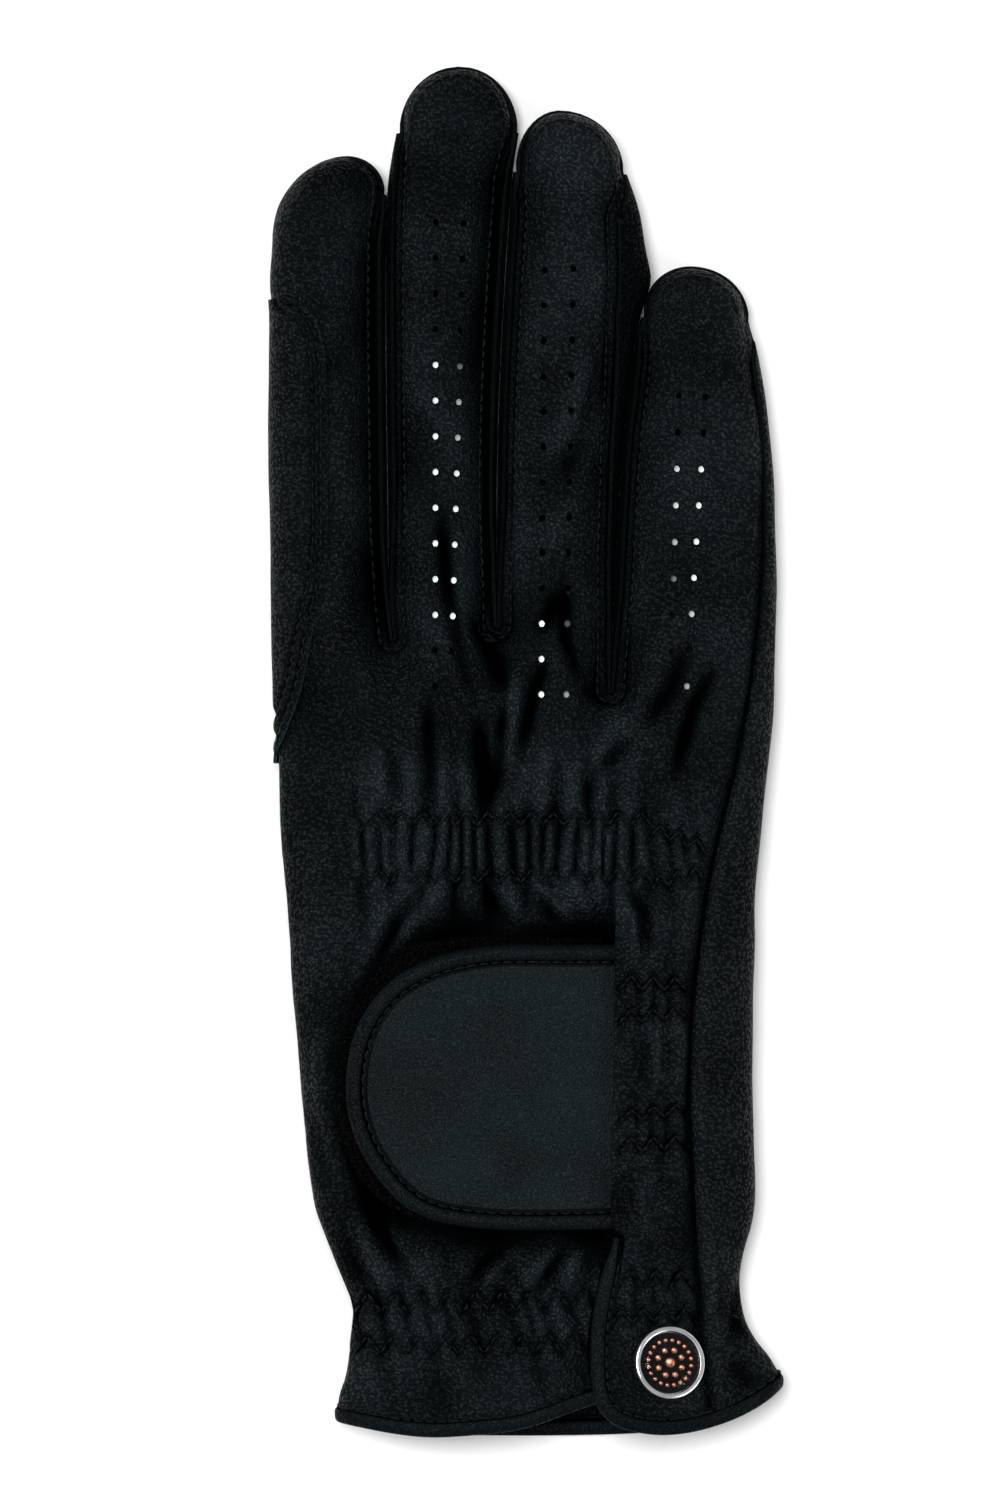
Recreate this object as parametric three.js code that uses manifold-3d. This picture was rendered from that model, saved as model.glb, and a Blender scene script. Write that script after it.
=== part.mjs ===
import * as THREE from "three";
import { mergeVertices } from "three/addons/utils/BufferGeometryUtils.js";
import Module from "manifold-3d";

// Riding glove for the right hand, lying palm down. Millimetres: X runs across the hand,
// Y from the wrist to the fingertips, Z up from the table. Places in the tables are percent
// of the glove's length (y) and width (x), counted from the middle of the glove.
const gloveLength = 238.5;
const gloveWidth = 90;
const handHeight = 18;
const fingerHeight = 12.6;
const leather = 1.15;
const seamGap = 0.4;
const slitWidth = 0.8;
const grooveHalf = 0.3;
const sideSquareness = 2.6;
const seamInset = 0.8;
const tipRound = 8;
const edgeWrap = 0.5;
const bindingWidth = 3.4;
const bindingThick = 2;
const tabThick = 1.4;
const padThick = 0.9;
const layerGap = 0.45;
const ventDrop = 1.6;
const flapRise = 3.8;
const snapRadius = 6.25;
const snapLift = 0.7;
const holeRadius = 0.6;
const patchThick = 0.7;
const patchGap = 0.75;
const padGap = 0.6;

const wasm = await Module();
wasm.setup();

const glove = new THREE.Group();

function lengthAt(percent) {
  return (percent / 100) * gloveLength;
}

function widthAt(percent) {
  return (percent / 100) * gloveWidth;
}

function mix(from, to, share) {
  return from + (to - from) * share;
}

function easeIn(share) {
  const held = Math.min(Math.max(share, 0), 1);
  return held * held * (3 - 2 * held);
}

// A smooth curve through the rows of a table, held level beyond its two ends.
function curveThrough(keys, values) {
  const last = keys.length - 1;
  const slopes = keys.map((key, i) => {
    const before = Math.max(i - 1, 0);
    const after = Math.min(i + 1, last);
    return (values[after] - values[before]) / (keys[after] - keys[before]);
  });
  return (at) => {
    const key = Math.min(Math.max(at, keys[0]), keys[last]);
    let i = 0;
    while (i < last - 1 && key > keys[i + 1]) i += 1;
    const span = keys[i + 1] - keys[i];
    const t = (key - keys[i]) / span;
    const turn = t * t * (3 - 2 * t);
    return (
      mix(values[i], values[i + 1], turn) +
      span * t * (1 - t) * ((1 - t) * slopes[i] - t * slopes[i + 1])
    );
  };
}

function lineOf(rows) {
  return curveThrough(
    rows.map((row) => lengthAt(row.y)),
    rows.map((row) => widthAt(row.x)),
  );
}

function hemOf(rows) {
  return curveThrough(
    rows.map((row) => widthAt(row.x)),
    rows.map((row) => lengthAt(row.y)),
  );
}

// Outline of the hand with the outer sides of the index and little fingers.
const indexSide = lineOf([
  { y: -49.5, x: -36.8 },
  { y: -47.2, x: -35.9 },
  { y: -44.3, x: -34.1 },
  { y: -42.1, x: -33.6 },
  { y: -40.0, x: -34.3 },
  { y: -37.0, x: -37.2 },
  { y: -32.7, x: -40.7 },
  { y: -25.4, x: -43.3 },
  { y: -18.1, x: -45.0 },
  { y: -10.8, x: -46.5 },
  { y: -4.3, x: -47.5 },
  { y: -1.0, x: -47.6 },
  { y: 11.0, x: -48.1 },
  { y: 18.3, x: -48.4 },
  { y: 25.5, x: -48.7 },
  { y: 32.0, x: -48.6 },
  { y: 34.6, x: -49.2 },
  { y: 37.2, x: -48.8 },
]);
const littleSide = lineOf([
  { y: -49.0, x: 50.2 },
  { y: -46.5, x: 50.0 },
  { y: -44.3, x: 47.2 },
  { y: -42.9, x: 44.4 },
  { y: -41.2, x: 42.3 },
  { y: -38.5, x: 41.4 },
  { y: -36.8, x: 42.0 },
  { y: -34.2, x: 43.8 },
  { y: -31.5, x: 44.3 },
  { y: -25.4, x: 43.8 },
  { y: -18.1, x: 44.0 },
  { y: -10.8, x: 44.4 },
  { y: -3.6, x: 46.1 },
  { y: 3.7, x: 47.9 },
  { y: 11.0, x: 48.5 },
  { y: 18.3, x: 47.9 },
  { y: 25.5, x: 46.3 },
  { y: 31.4, x: 43.2 },
]);

// Middle lines of the three gaps between the fingers, carried on down the hand. The third
// becomes the vent at the wrist.
const gapLines = [
  lineOf([
    { y: -49.0, x: -20.5 },
    { y: -20.0, x: -23.5 },
    { y: 0.0, x: -25.0 },
    { y: 8.1, x: -25.6 },
    { y: 11.0, x: -26.3 },
    { y: 18.3, x: -26.6 },
    { y: 32.8, x: -27.0 },
    { y: 40.8, x: -26.7 },
    { y: 43.0, x: -26.0 },
    { y: 45.2, x: -24.9 },
  ]),
  lineOf([
    { y: -49.0, x: -4.5 },
    { y: 0.0, x: -5.3 },
    { y: 9.0, x: -5.5 },
    { y: 18.3, x: -5.5 },
    { y: 25.5, x: -5.1 },
    { y: 31.4, x: -4.4 },
    { y: 36.5, x: -3.6 },
    { y: 42.3, x: -2.4 },
    { y: 45.2, x: -1.2 },
  ]),
  lineOf([
    { y: -47.6, x: 14.2 },
    { y: -45.1, x: 12.5 },
    { y: -42.1, x: 12.5 },
    { y: -38.5, x: 14.4 },
    { y: -34.7, x: 15.8 },
    { y: -13.8, x: 16.7 },
    { y: -7.2, x: 16.7 },
    { y: 4.3, x: 16.4 },
    { y: 11.0, x: 17.1 },
    { y: 16.8, x: 17.9 },
    { y: 21.9, x: 18.7 },
    { y: 25.5, x: 19.8 },
    { y: 29.2, x: 21.0 },
    { y: 31.7, x: 22.3 },
    { y: 34.3, x: 24.3 },
    { y: 36.5, x: 23.3 },
    { y: 39.4, x: 22.0 },
    { y: 42.3, x: 19.4 },
  ]),
];

// Seam on the little-finger side, where the palm leather comes up onto the back.
const sideSeam = lineOf([
  { y: -48.0, x: 35.6 },
  { y: -42.1, x: 33.8 },
  { y: -36.3, x: 32.8 },
  { y: -29.0, x: 31.8 },
  { y: -23.9, x: 31.4 },
  { y: -18.1, x: 32.2 },
  { y: -9.4, x: 35.3 },
  { y: 0.8, x: 41.5 },
  { y: 9.5, x: 44.8 },
  { y: 15.4, x: 45.7 },
  { y: 19.7, x: 45.7 },
  { y: 25.5, x: 44.8 },
  { y: 30.6, x: 42.5 },
]);

// How far the back of the ring finger stops short of its outline on the right.
const ringInset = curveThrough(
  [4.3, 18.3, 25.5, 29.2, 31.7, 34.3, 36.5, 39.4, 41.6, 44].map(lengthAt),
  [0.8, 1.2, 1.9, 2.6, 3.7, 5.2, 4.4, 3.5, 2.8, 1.2],
);

const crotchLine = hemOf([
  { x: -50, y: 8.1 },
  { x: -25.4, y: 8.1 },
  { x: -5.5, y: 9.0 },
  { x: 16.3, y: 4.3 },
  { x: 47, y: 6.3 },
]);
const backHem = hemOf([
  { x: -36.8, y: -48.9 },
  { x: -20.4, y: -49.8 },
  { x: -8.8, y: -49.6 },
  { x: 0.9, y: -49.1 },
  { x: 10.5, y: -47.6 },
  { x: 14.4, y: -47.5 },
  { x: 19.2, y: -49.1 },
  { x: 26, y: -49.6 },
  { x: 33.8, y: -49.3 },
  { x: 41.5, y: -48.3 },
  { x: 50, y: -46.5 },
]);
const palmHem = hemOf([
  { x: -36.8, y: -48.9 },
  { x: -20.4, y: -49.9 },
  { x: 16.3, y: -50 },
  { x: 33.8, y: -49.4 },
  { x: 41.5, y: -48.3 },
  { x: 50, y: -46.5 },
]);

// Height of the back of the hand over the table and of its side edges, in percent.
const crownHeight = curveThrough(
  [-50, -45, -41.4, -38.2, -32, -18, -7, 3, 9, 20].map(lengthAt),
  [82, 78, 74, 80, 92, 100, 94, 94, 86, 80].map((share) => (share / 100) * handHeight),
);
const edgeHeight = curveThrough(
  [-50, -42, -30, 0, 10, 20].map(lengthAt),
  [34, 34, 38, 38, 34, 32].map((share) => (share / 100) * handHeight),
);

// Fingers from the index to the little finger: tip, then where the round of the tip starts
// on the left and on the right.
const fingers = [
  { tipX: -34.3, tipY: 43.4, leftX: -48.8, leftY: 37.2, rightX: -26.9, rightY: 40.8 },
  { tipX: -12.7, tipY: 50.0, leftX: -24.7, leftY: 45.2, rightX: -1.5, rightY: 45.2 },
  { tipX: 6.7, tipY: 46.7, leftX: -2.3, leftY: 42.3, rightX: 19.2, rightY: 42.3 },
  { tipX: 31.8, tipY: 35.4, leftX: 22.5, leftY: 31.7, rightX: 43.2, rightY: 31.4 },
];

function leftOutline(finger, y) {
  const held = Math.min(y, lengthAt(fingers[finger].leftY));
  if (finger === 0) return indexSide(held);
  return gapLines[finger - 1](held) + slitWidth / 2;
}

function rightOutline(finger, y) {
  const held = Math.min(y, lengthAt(fingers[finger].rightY));
  if (finger === 3) return littleSide(held);
  return gapLines[finger](held) - slitWidth / 2;
}

function tipLine(finger, share) {
  const row = fingers[finger];
  const x = mix(row.leftX, row.rightX, (share + 1) / 2);
  const isLeft = x < row.tipX;
  const endX = isLeft ? row.leftX : row.rightX;
  const endY = isLeft ? row.leftY : row.rightY;
  const out = Math.min(Math.abs((x - row.tipX) / (endX - row.tipX)), 1);
  return lengthAt(mix(endY, row.tipY, Math.sqrt(1 - out * out)));
}

// The closed cross-section shared by hand and fingers: a rounded box, by share or by angle.
function ringRise(share) {
  const side = Math.min(Math.abs(share), 1) ** sideSquareness;
  return (1 - side) ** (1 / sideSquareness);
}

function ringAcross(angle) {
  return Math.sign(Math.cos(angle)) * Math.abs(Math.cos(angle)) ** (2 / sideSquareness);
}

function ringUp(angle) {
  return Math.sign(Math.sin(angle)) * Math.abs(Math.sin(angle)) ** (2 / sideSquareness);
}

function angleAt(share) {
  const held = Math.min(Math.max(share, -1), 1);
  return Math.acos(Math.sign(held) * Math.abs(held) ** (sideSquareness / 2));
}

// Folds of the back: start, bend and end of each, its height (valleys are below zero) and
// its half width in millimetres.
const folds = [
  { x0: -18.5, y0: 14.3, x1: -14.2, y1: 7.4, x2: -8.8, y2: -3.6, rise: -1.8, wide: 2.2 },
  { x0: -11.7, y0: 11.0, x1: -4.9, y1: 4.4, x2: -7.8, y2: -4.3, rise: -1.4, wide: 2 },
  { x0: -1.1, y0: 8.1, x1: -4.0, y1: 2.3, x2: -6.9, y2: -3.6, rise: 1, wide: 1.8 },
  { x0: 3.8, y0: 11.7, x1: -1.1, y1: 4.4, x2: -5.9, y2: -2.8, rise: -1.3, wide: 1.8 },
  { x0: 9.2, y0: 13.2, x1: 9.2, y1: 8.1, x2: 14.4, y2: 3.7, rise: -0.9, wide: 1.7 },
  { x0: 37.6, y0: 9.5, x1: 29.9, y1: 4.4, x2: 14.4, y2: -3.6, rise: -1.5, wide: 2.8 },
  { x0: 42.5, y0: 8.1, x1: 36.7, y1: 4.4, x2: 29.9, y2: -2.8, rise: -1, wide: 2.2 },
  { x0: -22.3, y0: -9.4, x1: -29.7, y1: -13.8, x2: -36.4, y2: -21.0, rise: -1.7, wide: 3 },
  { x0: -36.8, y0: -24.0, x1: -34.0, y1: -31.2, x2: -26.2, y2: -37.0, rise: -1.7, wide: 3 },
  { x0: -13.6, y0: -9.4, x1: -18.5, y1: -12.0, x2: -24.3, y2: -15.2, rise: 0.8, wide: 2 },
  { x0: 7.6, y0: -8.7, x1: 10.5, y1: -10.8, x2: 13.4, y2: -13.0, rise: 0.7, wide: 1.6 },
  { x0: 24.1, y0: -10.1, x1: 27.0, y1: -13.0, x2: 27.6, y2: -15.2, rise: 0.8, wide: 1.8 },
  { x0: 6.7, y0: -35.2, x1: 2.8, y1: -37.4, x2: -1.1, y2: -40.0, rise: 0.8, wide: 1.8 },
  { x0: 12.5, y0: -35.6, x1: 9.6, y1: -37.4, x2: 6.7, y2: -39.2, rise: 0.7, wide: 1.6 },
  { x0: 25.0, y0: -30.5, x1: 25.4, y1: -32.8, x2: 25.0, y2: -34.9, rise: -1, wide: 1.7 },
  { x0: 12.5, y0: 32.8, x1: 6.7, y1: 29.2, x2: 0.9, y2: 25.5, rise: -0.5, wide: 2.4 },
];

// Elastic gathers: middle of the band, its reach along and across the hand, pleat height.
const gathers = [
  { x: 0.6, y: -7.1, reachX: 35, reachY: 3.2, rise: 1.1 },
  { x: -10, y: -40.8, reachX: 25, reachY: 2.2, rise: 0.7 },
  { x: 27, y: -39.4, reachX: 14, reachY: 2, rise: 0.6 },
  { x: 23.5, y: -18.0, reachX: 7, reachY: 1.6, rise: 0.5 },
  { x: 23.5, y: -27.2, reachX: 7, reachY: 1.6, rise: 0.5 },
];

// Closing tab: a D with its flat end under the flap. Stations of its rim from the upper flat
// end round the left to the lower one, and the same for the pile pad under it.
const tabRim = [
  { x: 19.5, y: -14.0 },
  { x: 8.0, y: -14.0 },
  { x: -4.4, y: -14.0 },
  { x: -12.7, y: -14.4 },
  { x: -18.9, y: -15.1 },
  { x: -25.2, y: -16.4 },
  { x: -29.5, y: -18.1 },
  { x: -32.4, y: -20.0 },
  { x: -34.0, y: -22.2 },
  { x: -34.5, y: -24.5 },
  { x: -33.8, y: -26.7 },
  { x: -31.6, y: -29.0 },
  { x: -27.6, y: -31.3 },
  { x: -23.1, y: -33.0 },
  { x: -17.7, y: -34.0 },
  { x: -10.5, y: -34.5 },
  { x: -2.2, y: -34.7 },
  { x: 8.0, y: -34.7 },
  { x: 18.8, y: -34.6 },
];
const padRim = [
  { x: 14.6, y: -13.5 },
  { x: 5, y: -13.5 },
  { x: -5, y: -13.4 },
  { x: -16.5, y: -13.6 },
  { x: -25.0, y: -14.6 },
  { x: -31.6, y: -17.4 },
  { x: -35.2, y: -21.0 },
  { x: -36.2, y: -24.0 },
  { x: -35.6, y: -27.2 },
  { x: -32.8, y: -30.3 },
  { x: -28.0, y: -32.5 },
  { x: -20.4, y: -34.0 },
  { x: -10.7, y: -34.5 },
  { x: 2, y: -34.5 },
  { x: 14.2, y: -34.5 },
];

function segmentReach(x, y, fold) {
  const points = [
    [widthAt(fold.x0), lengthAt(fold.y0)],
    [widthAt(fold.x1), lengthAt(fold.y1)],
    [widthAt(fold.x2), lengthAt(fold.y2)],
  ];
  let best = { away: Infinity, along: 0 };
  for (let i = 0; i < 2; i += 1) {
    const [ax, ay] = points[i];
    const dx = points[i + 1][0] - ax;
    const dy = points[i + 1][1] - ay;
    const share = ((x - ax) * dx + (y - ay) * dy) / (dx * dx + dy * dy);
    const held = Math.min(Math.max(share, 0), 1);
    const away = Math.hypot(x - ax - dx * held, y - ay - dy * held);
    if (away < best.away) best = { away, along: (i + held) / 2 };
  }
  return best;
}

// One under the pile pad and the tab, where the back lies smooth, fading to zero round them.
const smoothMiddle = { x: -8, y: -24.2, reachX: 28.5, reachY: 11.2 };

function padShare(x, y) {
  const aside = Math.min(0, x - widthAt(smoothMiddle.x)) / widthAt(smoothMiddle.reachX);
  const above = (y - lengthAt(smoothMiddle.y)) / lengthAt(smoothMiddle.reachY);
  const onLeft = easeIn((gapLines[2](y) + 5 - x) / 3);
  return easeIn((1.16 - Math.hypot(aside, above)) / 0.13) * onLeft;
}

function foldRelief(x, y) {
  let rise = 0;
  for (const fold of folds) {
    const { away, along } = segmentReach(x, y, fold);
    const fade = easeIn(Math.min(along, 1 - along) * 4 + 0.25);
    rise += fold.rise * fade * Math.exp(-((away / fold.wide) ** 2));
  }
  return rise * (1 - padShare(x, y));
}

function pleatReach(x, y) {
  let reach = 0;
  for (const band of gathers) {
    const outX = Math.abs(x - widthAt(band.x)) / widthAt(band.reachX);
    const outY = Math.abs(y - lengthAt(band.y)) / lengthAt(band.reachY);
    reach += band.rise * easeIn((1.1 - outX) * 5) * Math.exp(-(outY ** 2));
  }
  return reach;
}

const crotches = [
  { x: -25.6, y: 8.1 },
  { x: -5.5, y: 9.0 },
  { x: 16.4, y: 4.3 },
];
const crotchDip = 4.8;
const crotchLift = 2.4;
const crotchWide = 4.5;
const crotchLong = 9;

function crotchShare(x, y) {
  let share = 0;
  crotches.forEach((crotch, i) => {
    const aside = (x - gapLines[i](y)) / crotchWide;
    const below = Math.max(0, lengthAt(crotch.y) - y) / crotchLong;
    share += Math.exp(-aside * aside - below * below);
  });
  return share;
}

// The flap on the right of the vent stands over the tab, the left side lies lower.
function ventStep(x, y, onFlap) {
  const reach = easeIn((lengthAt(-8) - y) / lengthAt(5.6));
  const away = Math.abs(x - gapLines[2](y));
  const spread = Math.exp(-((away / 13) ** 2));
  return reach * spread * (onFlap ? flapRise : -ventDrop);
}

function sideGroove(x, y) {
  const away = (x - sideSeam(y)) / 1.3;
  return -0.8 * Math.exp(-away * away);
}

function handSpan(y) {
  const left = indexSide(y);
  const right = littleSide(y);
  return { middle: (left + right) / 2, half: (right - left) / 2 };
}

function plainTop(x, y) {
  const { middle, half } = handSpan(y);
  const low = edgeHeight(y);
  return low + (crownHeight(y) - low) * ringRise((x - middle) / half);
}

function handTop(x, y, onFlap) {
  return (
    plainTop(x, y) +
    foldRelief(x, y) +
    ventStep(x, y, onFlap) +
    sideGroove(x, y) -
    crotchDip * crotchShare(x, y)
  );
}

// The palm rises over the folded thumb.
const thumbX = widthAt(-15.6);
const thumbHalf = widthAt(14.7);
const thumbTop = 0.45 * handHeight;
const thumbEnds = [lengthAt(-27.7), lengthAt(4.8)];
const thumbSlope = widthAt(10);

function thumbRise(x, y) {
  const aside = Math.max(0, Math.abs(x - thumbX) - thumbHalf - 1);
  const beyond = Math.max(0, thumbEnds[0] - 1 - y, y - thumbEnds[1] - 1);
  const away = Math.hypot(aside, beyond) / thumbSlope;
  return (thumbTop + seamGap) * (1 - easeIn(away));
}

const fingerMiddle = 0.42 * fingerHeight;
const fingerEdge = 0.3;

function tipRise(away) {
  const left = Math.max(0, away) / tipRound;
  return left >= 1 ? 1 : Math.sqrt(1 - (1 - left) ** 2);
}

function fingerPoint(finger, share, rise, y, tipY) {
  const left = leftOutline(finger, y);
  const right = rightOutline(finger, y);
  const x = mix(left, right, (share + 1) / 2);
  const tip = tipRise(tipY - y);
  if (rise >= 0) {
    const top = (fingerHeight - fingerMiddle) * rise * tip;
    const crease = foldRelief(x, y) * rise * tip;
    const groove = finger === 3 ? sideGroove(x, y) * 0.8 : 0;
    return new THREE.Vector3(x, y, fingerMiddle + fingerEdge + top + crease + groove);
  }
  const low = fingerMiddle - fingerEdge + (fingerMiddle + 0.5) * rise * tip;
  return new THREE.Vector3(x, y, Math.max(low, 0));
}

// Share of the finger's half width at which a leaf ends, by side. Towards the tip the seams
// of back and palm draw together at the outline.
const tipShare = 0.992;

function sideTaper(finger, side, y) {
  const row = fingers[finger];
  return easeIn((lengthAt(side < 0 ? row.leftY : row.rightY) - y) / 9);
}

function seamShare(finger, side, y) {
  const half = (rightOutline(finger, y) - leftOutline(finger, y)) / 2;
  if (side > 0 && finger === 3) return (sideSeam(y) - leftOutline(3, y)) / half - 1;
  return side * (1 - (side > 0 && finger === 2 ? ringInset(y) : seamInset) / half);
}

function palmShare(finger, side, y) {
  const half = (rightOutline(finger, y) - leftOutline(finger, y)) / 2;
  return side * (1 - seamInset / half);
}

function drawnIn(finger, side, y, share) {
  const angle = mix(angleAt(tipShare), angleAt(Math.abs(share)), sideTaper(finger, side, y));
  return side * ringAcross(angle);
}

const blendEnd = 0.3;

// A place on the back leaf: finger block, share across it, height y. Shares below zero on the
// index block carry on round the edge of the hand.
function backHandPoint(block, across, y) {
  const onFlap = block === 3;
  if (block === 0) {
    const { middle, half } = handSpan(y);
    const inner = (gapLines[0](y) - slitWidth / 2 - middle) / half;
    const angle = mix(Math.PI, angleAt(inner), across);
    const x = middle + half * ringAcross(angle);
    const low = edgeHeight(y);
    if (across < 0) return new THREE.Vector3(x, y, low + (low + 0.6) * ringUp(angle));
    const relief = handTop(x, y, false) - plainTop(x, y);
    const z = low + (crownHeight(y) - low) * ringUp(angle) + relief * easeIn(across * 3);
    return new THREE.Vector3(x, y, z);
  }
  const flapEdge = onFlap ? flapBinding(y) : 0;
  const left = gapLines[block - 1](y) + slitWidth / 2 + flapEdge;
  const right = block === 3 ? sideSeam(y) - grooveHalf : gapLines[block](y) - slitWidth / 2;
  const x = mix(left, right, across);
  return new THREE.Vector3(x, y, handTop(x, y, onFlap));
}

function flapBinding(y) {
  return (bindingWidth + 0.1) * easeIn((lengthAt(-34.3) - y) / 2);
}

function backEdge(block, side, y) {
  return drawnIn(block, side, y, seamShare(block, side, y));
}

function backFingerAngle(across, y) {
  return mix(Math.PI, angleAt(backEdge(0, 1, y)), across);
}

function backFingerShare(block, across, y) {
  if (block === 0) return ringAcross(backFingerAngle(across, y));
  return mix(backEdge(block, -1, y), backEdge(block, 1, y), across);
}

function backFingerPoint(block, across, y) {
  const share = backFingerShare(block, across, y);
  const rise = block === 0 ? ringUp(backFingerAngle(across, y)) : ringRise(share);
  return fingerPoint(block, share, rise, y, backTipY(block, across));
}

function crotchY(block, across) {
  const y = lengthAt(8);
  const x = backHandPoint(block, Math.max(across, 0), y).x;
  return crotchLine(x);
}

function backTipY(block, across) {
  return tipLine(block, backFingerShare(block, across, gloveLength / 2));
}

function backAtLevel(block, across, y) {
  const start = crotchY(block, across);
  const along = (y - start) / (backTipY(block, across) - start);
  const blend = easeIn(along / blendEnd);
  const onHand = backHandPoint(block, across, y);
  return blend > 0 ? onHand.lerp(backFingerPoint(block, across, y), blend) : onHand;
}

function backPoint(block, across, along) {
  if (along <= 0) return backHandPoint(block, across, handY(block, across, along));
  return backAtLevel(block, across, mix(crotchY(block, across), backTipY(block, across), along));
}

// The palm leaf, in the same way. Its index block starts where the back leaf ends under the
// edge, and its little-finger block carries on round the edge up to the side seam.
const palmStart = edgeWrap / 2 + 0.08;

function palmAngles(block, edges, left, right) {
  const first = block === 0 ? Math.PI + palmStart * (Math.PI - angleAt(edges.back)) : 0;
  const start = block === 0 ? first - 2 * Math.PI : -angleAt(left);
  const end = block === 3 ? angleAt(right) : -angleAt(right);
  return { start, end };
}

function palmHandPoint(block, across, y) {
  const { middle, half } = handSpan(y);
  const shareOf = (x) => (x - middle) / half;
  const gapLeft = block > 0 ? shareOf(gapLines[block - 1](y) + slitWidth / 2) : -1;
  const gapRight = shareOf(
    block === 3 ? sideSeam(y) + grooveHalf : gapLines[block](y) - slitWidth / 2,
  );
  const edges = { back: shareOf(gapLines[0](y) - slitWidth / 2) };
  const { start, end } = palmAngles(block, edges, gapLeft, gapRight);
  const angle = mix(start, end, across);
  const x = middle + half * ringAcross(angle);
  const low = edgeHeight(y);
  if (angle > 0) {
    const relief = (handTop(x, y, true) - plainTop(x, y)) * easeIn(angle * 3);
    return new THREE.Vector3(x, y, low + (crownHeight(y) - low) * ringUp(angle) + relief);
  }
  const under = low + (low + 0.6) * ringUp(angle);
  const floor = Math.max(under, thumbRise(x, y), 0);
  return new THREE.Vector3(x, y, floor + crotchLift * crotchShare(x, y) * easeIn(-angle * 3));
}

function palmFingerAngle(block, across, y) {
  const edges = { back: backEdge(0, 1, y) };
  const left = drawnIn(block, -1, y, palmShare(block, -1, y));
  const half = (rightOutline(3, y) - leftOutline(3, y)) / 2;
  const seam = seamShare(3, 1, y) + (2 * grooveHalf) / half;
  const right = drawnIn(block, 1, y, block === 3 ? seam : palmShare(block, 1, y));
  const { start, end } = palmAngles(block, edges, left, right);
  const dropped = block === 3 ? mix(-2 * angleAt(tipShare), 0, sideTaper(3, 1, y)) : 0;
  return mix(start, end + dropped, across);
}

function palmFingerPoint(block, across, y) {
  const angle = palmFingerAngle(block, across, y);
  return fingerPoint(block, ringAcross(angle), ringUp(angle), y, palmTipY(block, across));
}

function palmTipY(block, across) {
  return tipLine(block, ringAcross(palmFingerAngle(block, across, gloveLength / 2)));
}

function palmPoint(block, across, along) {
  const guess = along <= 0 ? rowLevel(palmRows, -along, 0, palmHem) : lengthAt(8);
  const x = palmHandPoint(block, across, guess).x;
  if (along <= 0) {
    return palmHandPoint(block, across, rowLevel(palmRows, -along, x, palmHem));
  }
  const y = mix(crotchLine(x), palmTipY(block, across), along);
  const blend = easeIn(along / blendEnd);
  return palmHandPoint(block, across, y).lerp(palmFingerPoint(block, across, y), blend);
}

// Rows of the hand from the finger crotches down to the hem: level, and how far each row
// follows the line of the crotches or the line of the hem.
const handRows = [
  { y: 7, crotch: 1, hem: 0 },
  { y: 3.6, crotch: 0.7, hem: 0 },
  { y: 0.4, crotch: 0.3, hem: 0 },
  { y: -2.4, crotch: 0, hem: 0 },
  { y: -4.6, crotch: 0, hem: 0 },
  { y: -6.2, crotch: 0, hem: 0 },
  { y: -8, crotch: 0, hem: 0 },
  { y: -9.8, crotch: 0, hem: 0 },
  { y: -12.4, crotch: 0, hem: 0 },
  { y: -15.6, crotch: 0, hem: 0 },
  { y: -19.6, crotch: 0, hem: 0 },
  { y: -24, crotch: 0, hem: 0 },
  { y: -28.4, crotch: 0, hem: 0 },
  { y: -32.2, crotch: 0, hem: 0 },
  { y: -35.6, crotch: 0, hem: 0 },
  { y: -38.4, crotch: 0, hem: 0 },
  { y: -40.6, crotch: 0, hem: 0 },
  { y: -42.8, crotch: 0, hem: 0.1 },
  { y: -45.1, crotch: 0, hem: 0.5 },
  { y: -47, crotch: 0, hem: 1 },
];
const ventRow = 8;
const palmRows = [
  { y: 7, crotch: 1, hem: 0 },
  { y: 2, crotch: 0.5, hem: 0 },
  { y: -4, crotch: 0, hem: 0 },
  { y: -9.5, crotch: 0, hem: 0 },
  { y: -15, crotch: 0, hem: 0 },
  { y: -21, crotch: 0, hem: 0 },
  { y: -27, crotch: 0, hem: 0 },
  { y: -32.5, crotch: 0, hem: 0 },
  { y: -37.5, crotch: 0, hem: 0 },
  { y: -42, crotch: 0, hem: 0 },
  { y: -47, crotch: 0, hem: 1 },
];
const tipRows = [0, 0.08, 0.18, 0.32, 0.5, 0.68, 0.83, 0.94, 0.98, 1];

function rowLevel(rows, index, x, hemLine) {
  const low = Math.min(Math.floor(index), rows.length - 2);
  const share = index - low;
  const level = (row) => {
    const toCrotch = crotchLine(x) - lengthAt(rows[0].y);
    const hemEdge = hemLine(x) + bindingWidth + layerGap + 0.15;
    const toHem = hemEdge - lengthAt(rows[rows.length - 1].y);
    return lengthAt(row.y) + row.crotch * toCrotch + row.hem * toHem;
  };
  return mix(level(rows[low]), level(rows[low + 1]), share);
}

function handY(block, across, along) {
  const guess = rowLevel(handRows, -along, 0, backHem);
  const x = backHandPoint(block, Math.max(across, 0), guess).x;
  return rowLevel(handRows, -along, x, backHem);
}

// The unit normal of a surface by small steps towards its inside.
function normalOf(surface, block, across, along) {
  const stepU = across > 0.5 ? -0.01 : 0.01;
  const stepV = along > 0.5 || (along <= 0 && along > -1) ? -0.01 : 0.01;
  const here = surface(block, across, along);
  const alongU = surface(block, across + stepU, along).sub(here);
  const alongV = surface(block, across, along + stepV).sub(here);
  const normal = alongU.cross(alongV).normalize();
  return normal.multiplyScalar(Math.sign(stepU * stepV));
}

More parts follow.
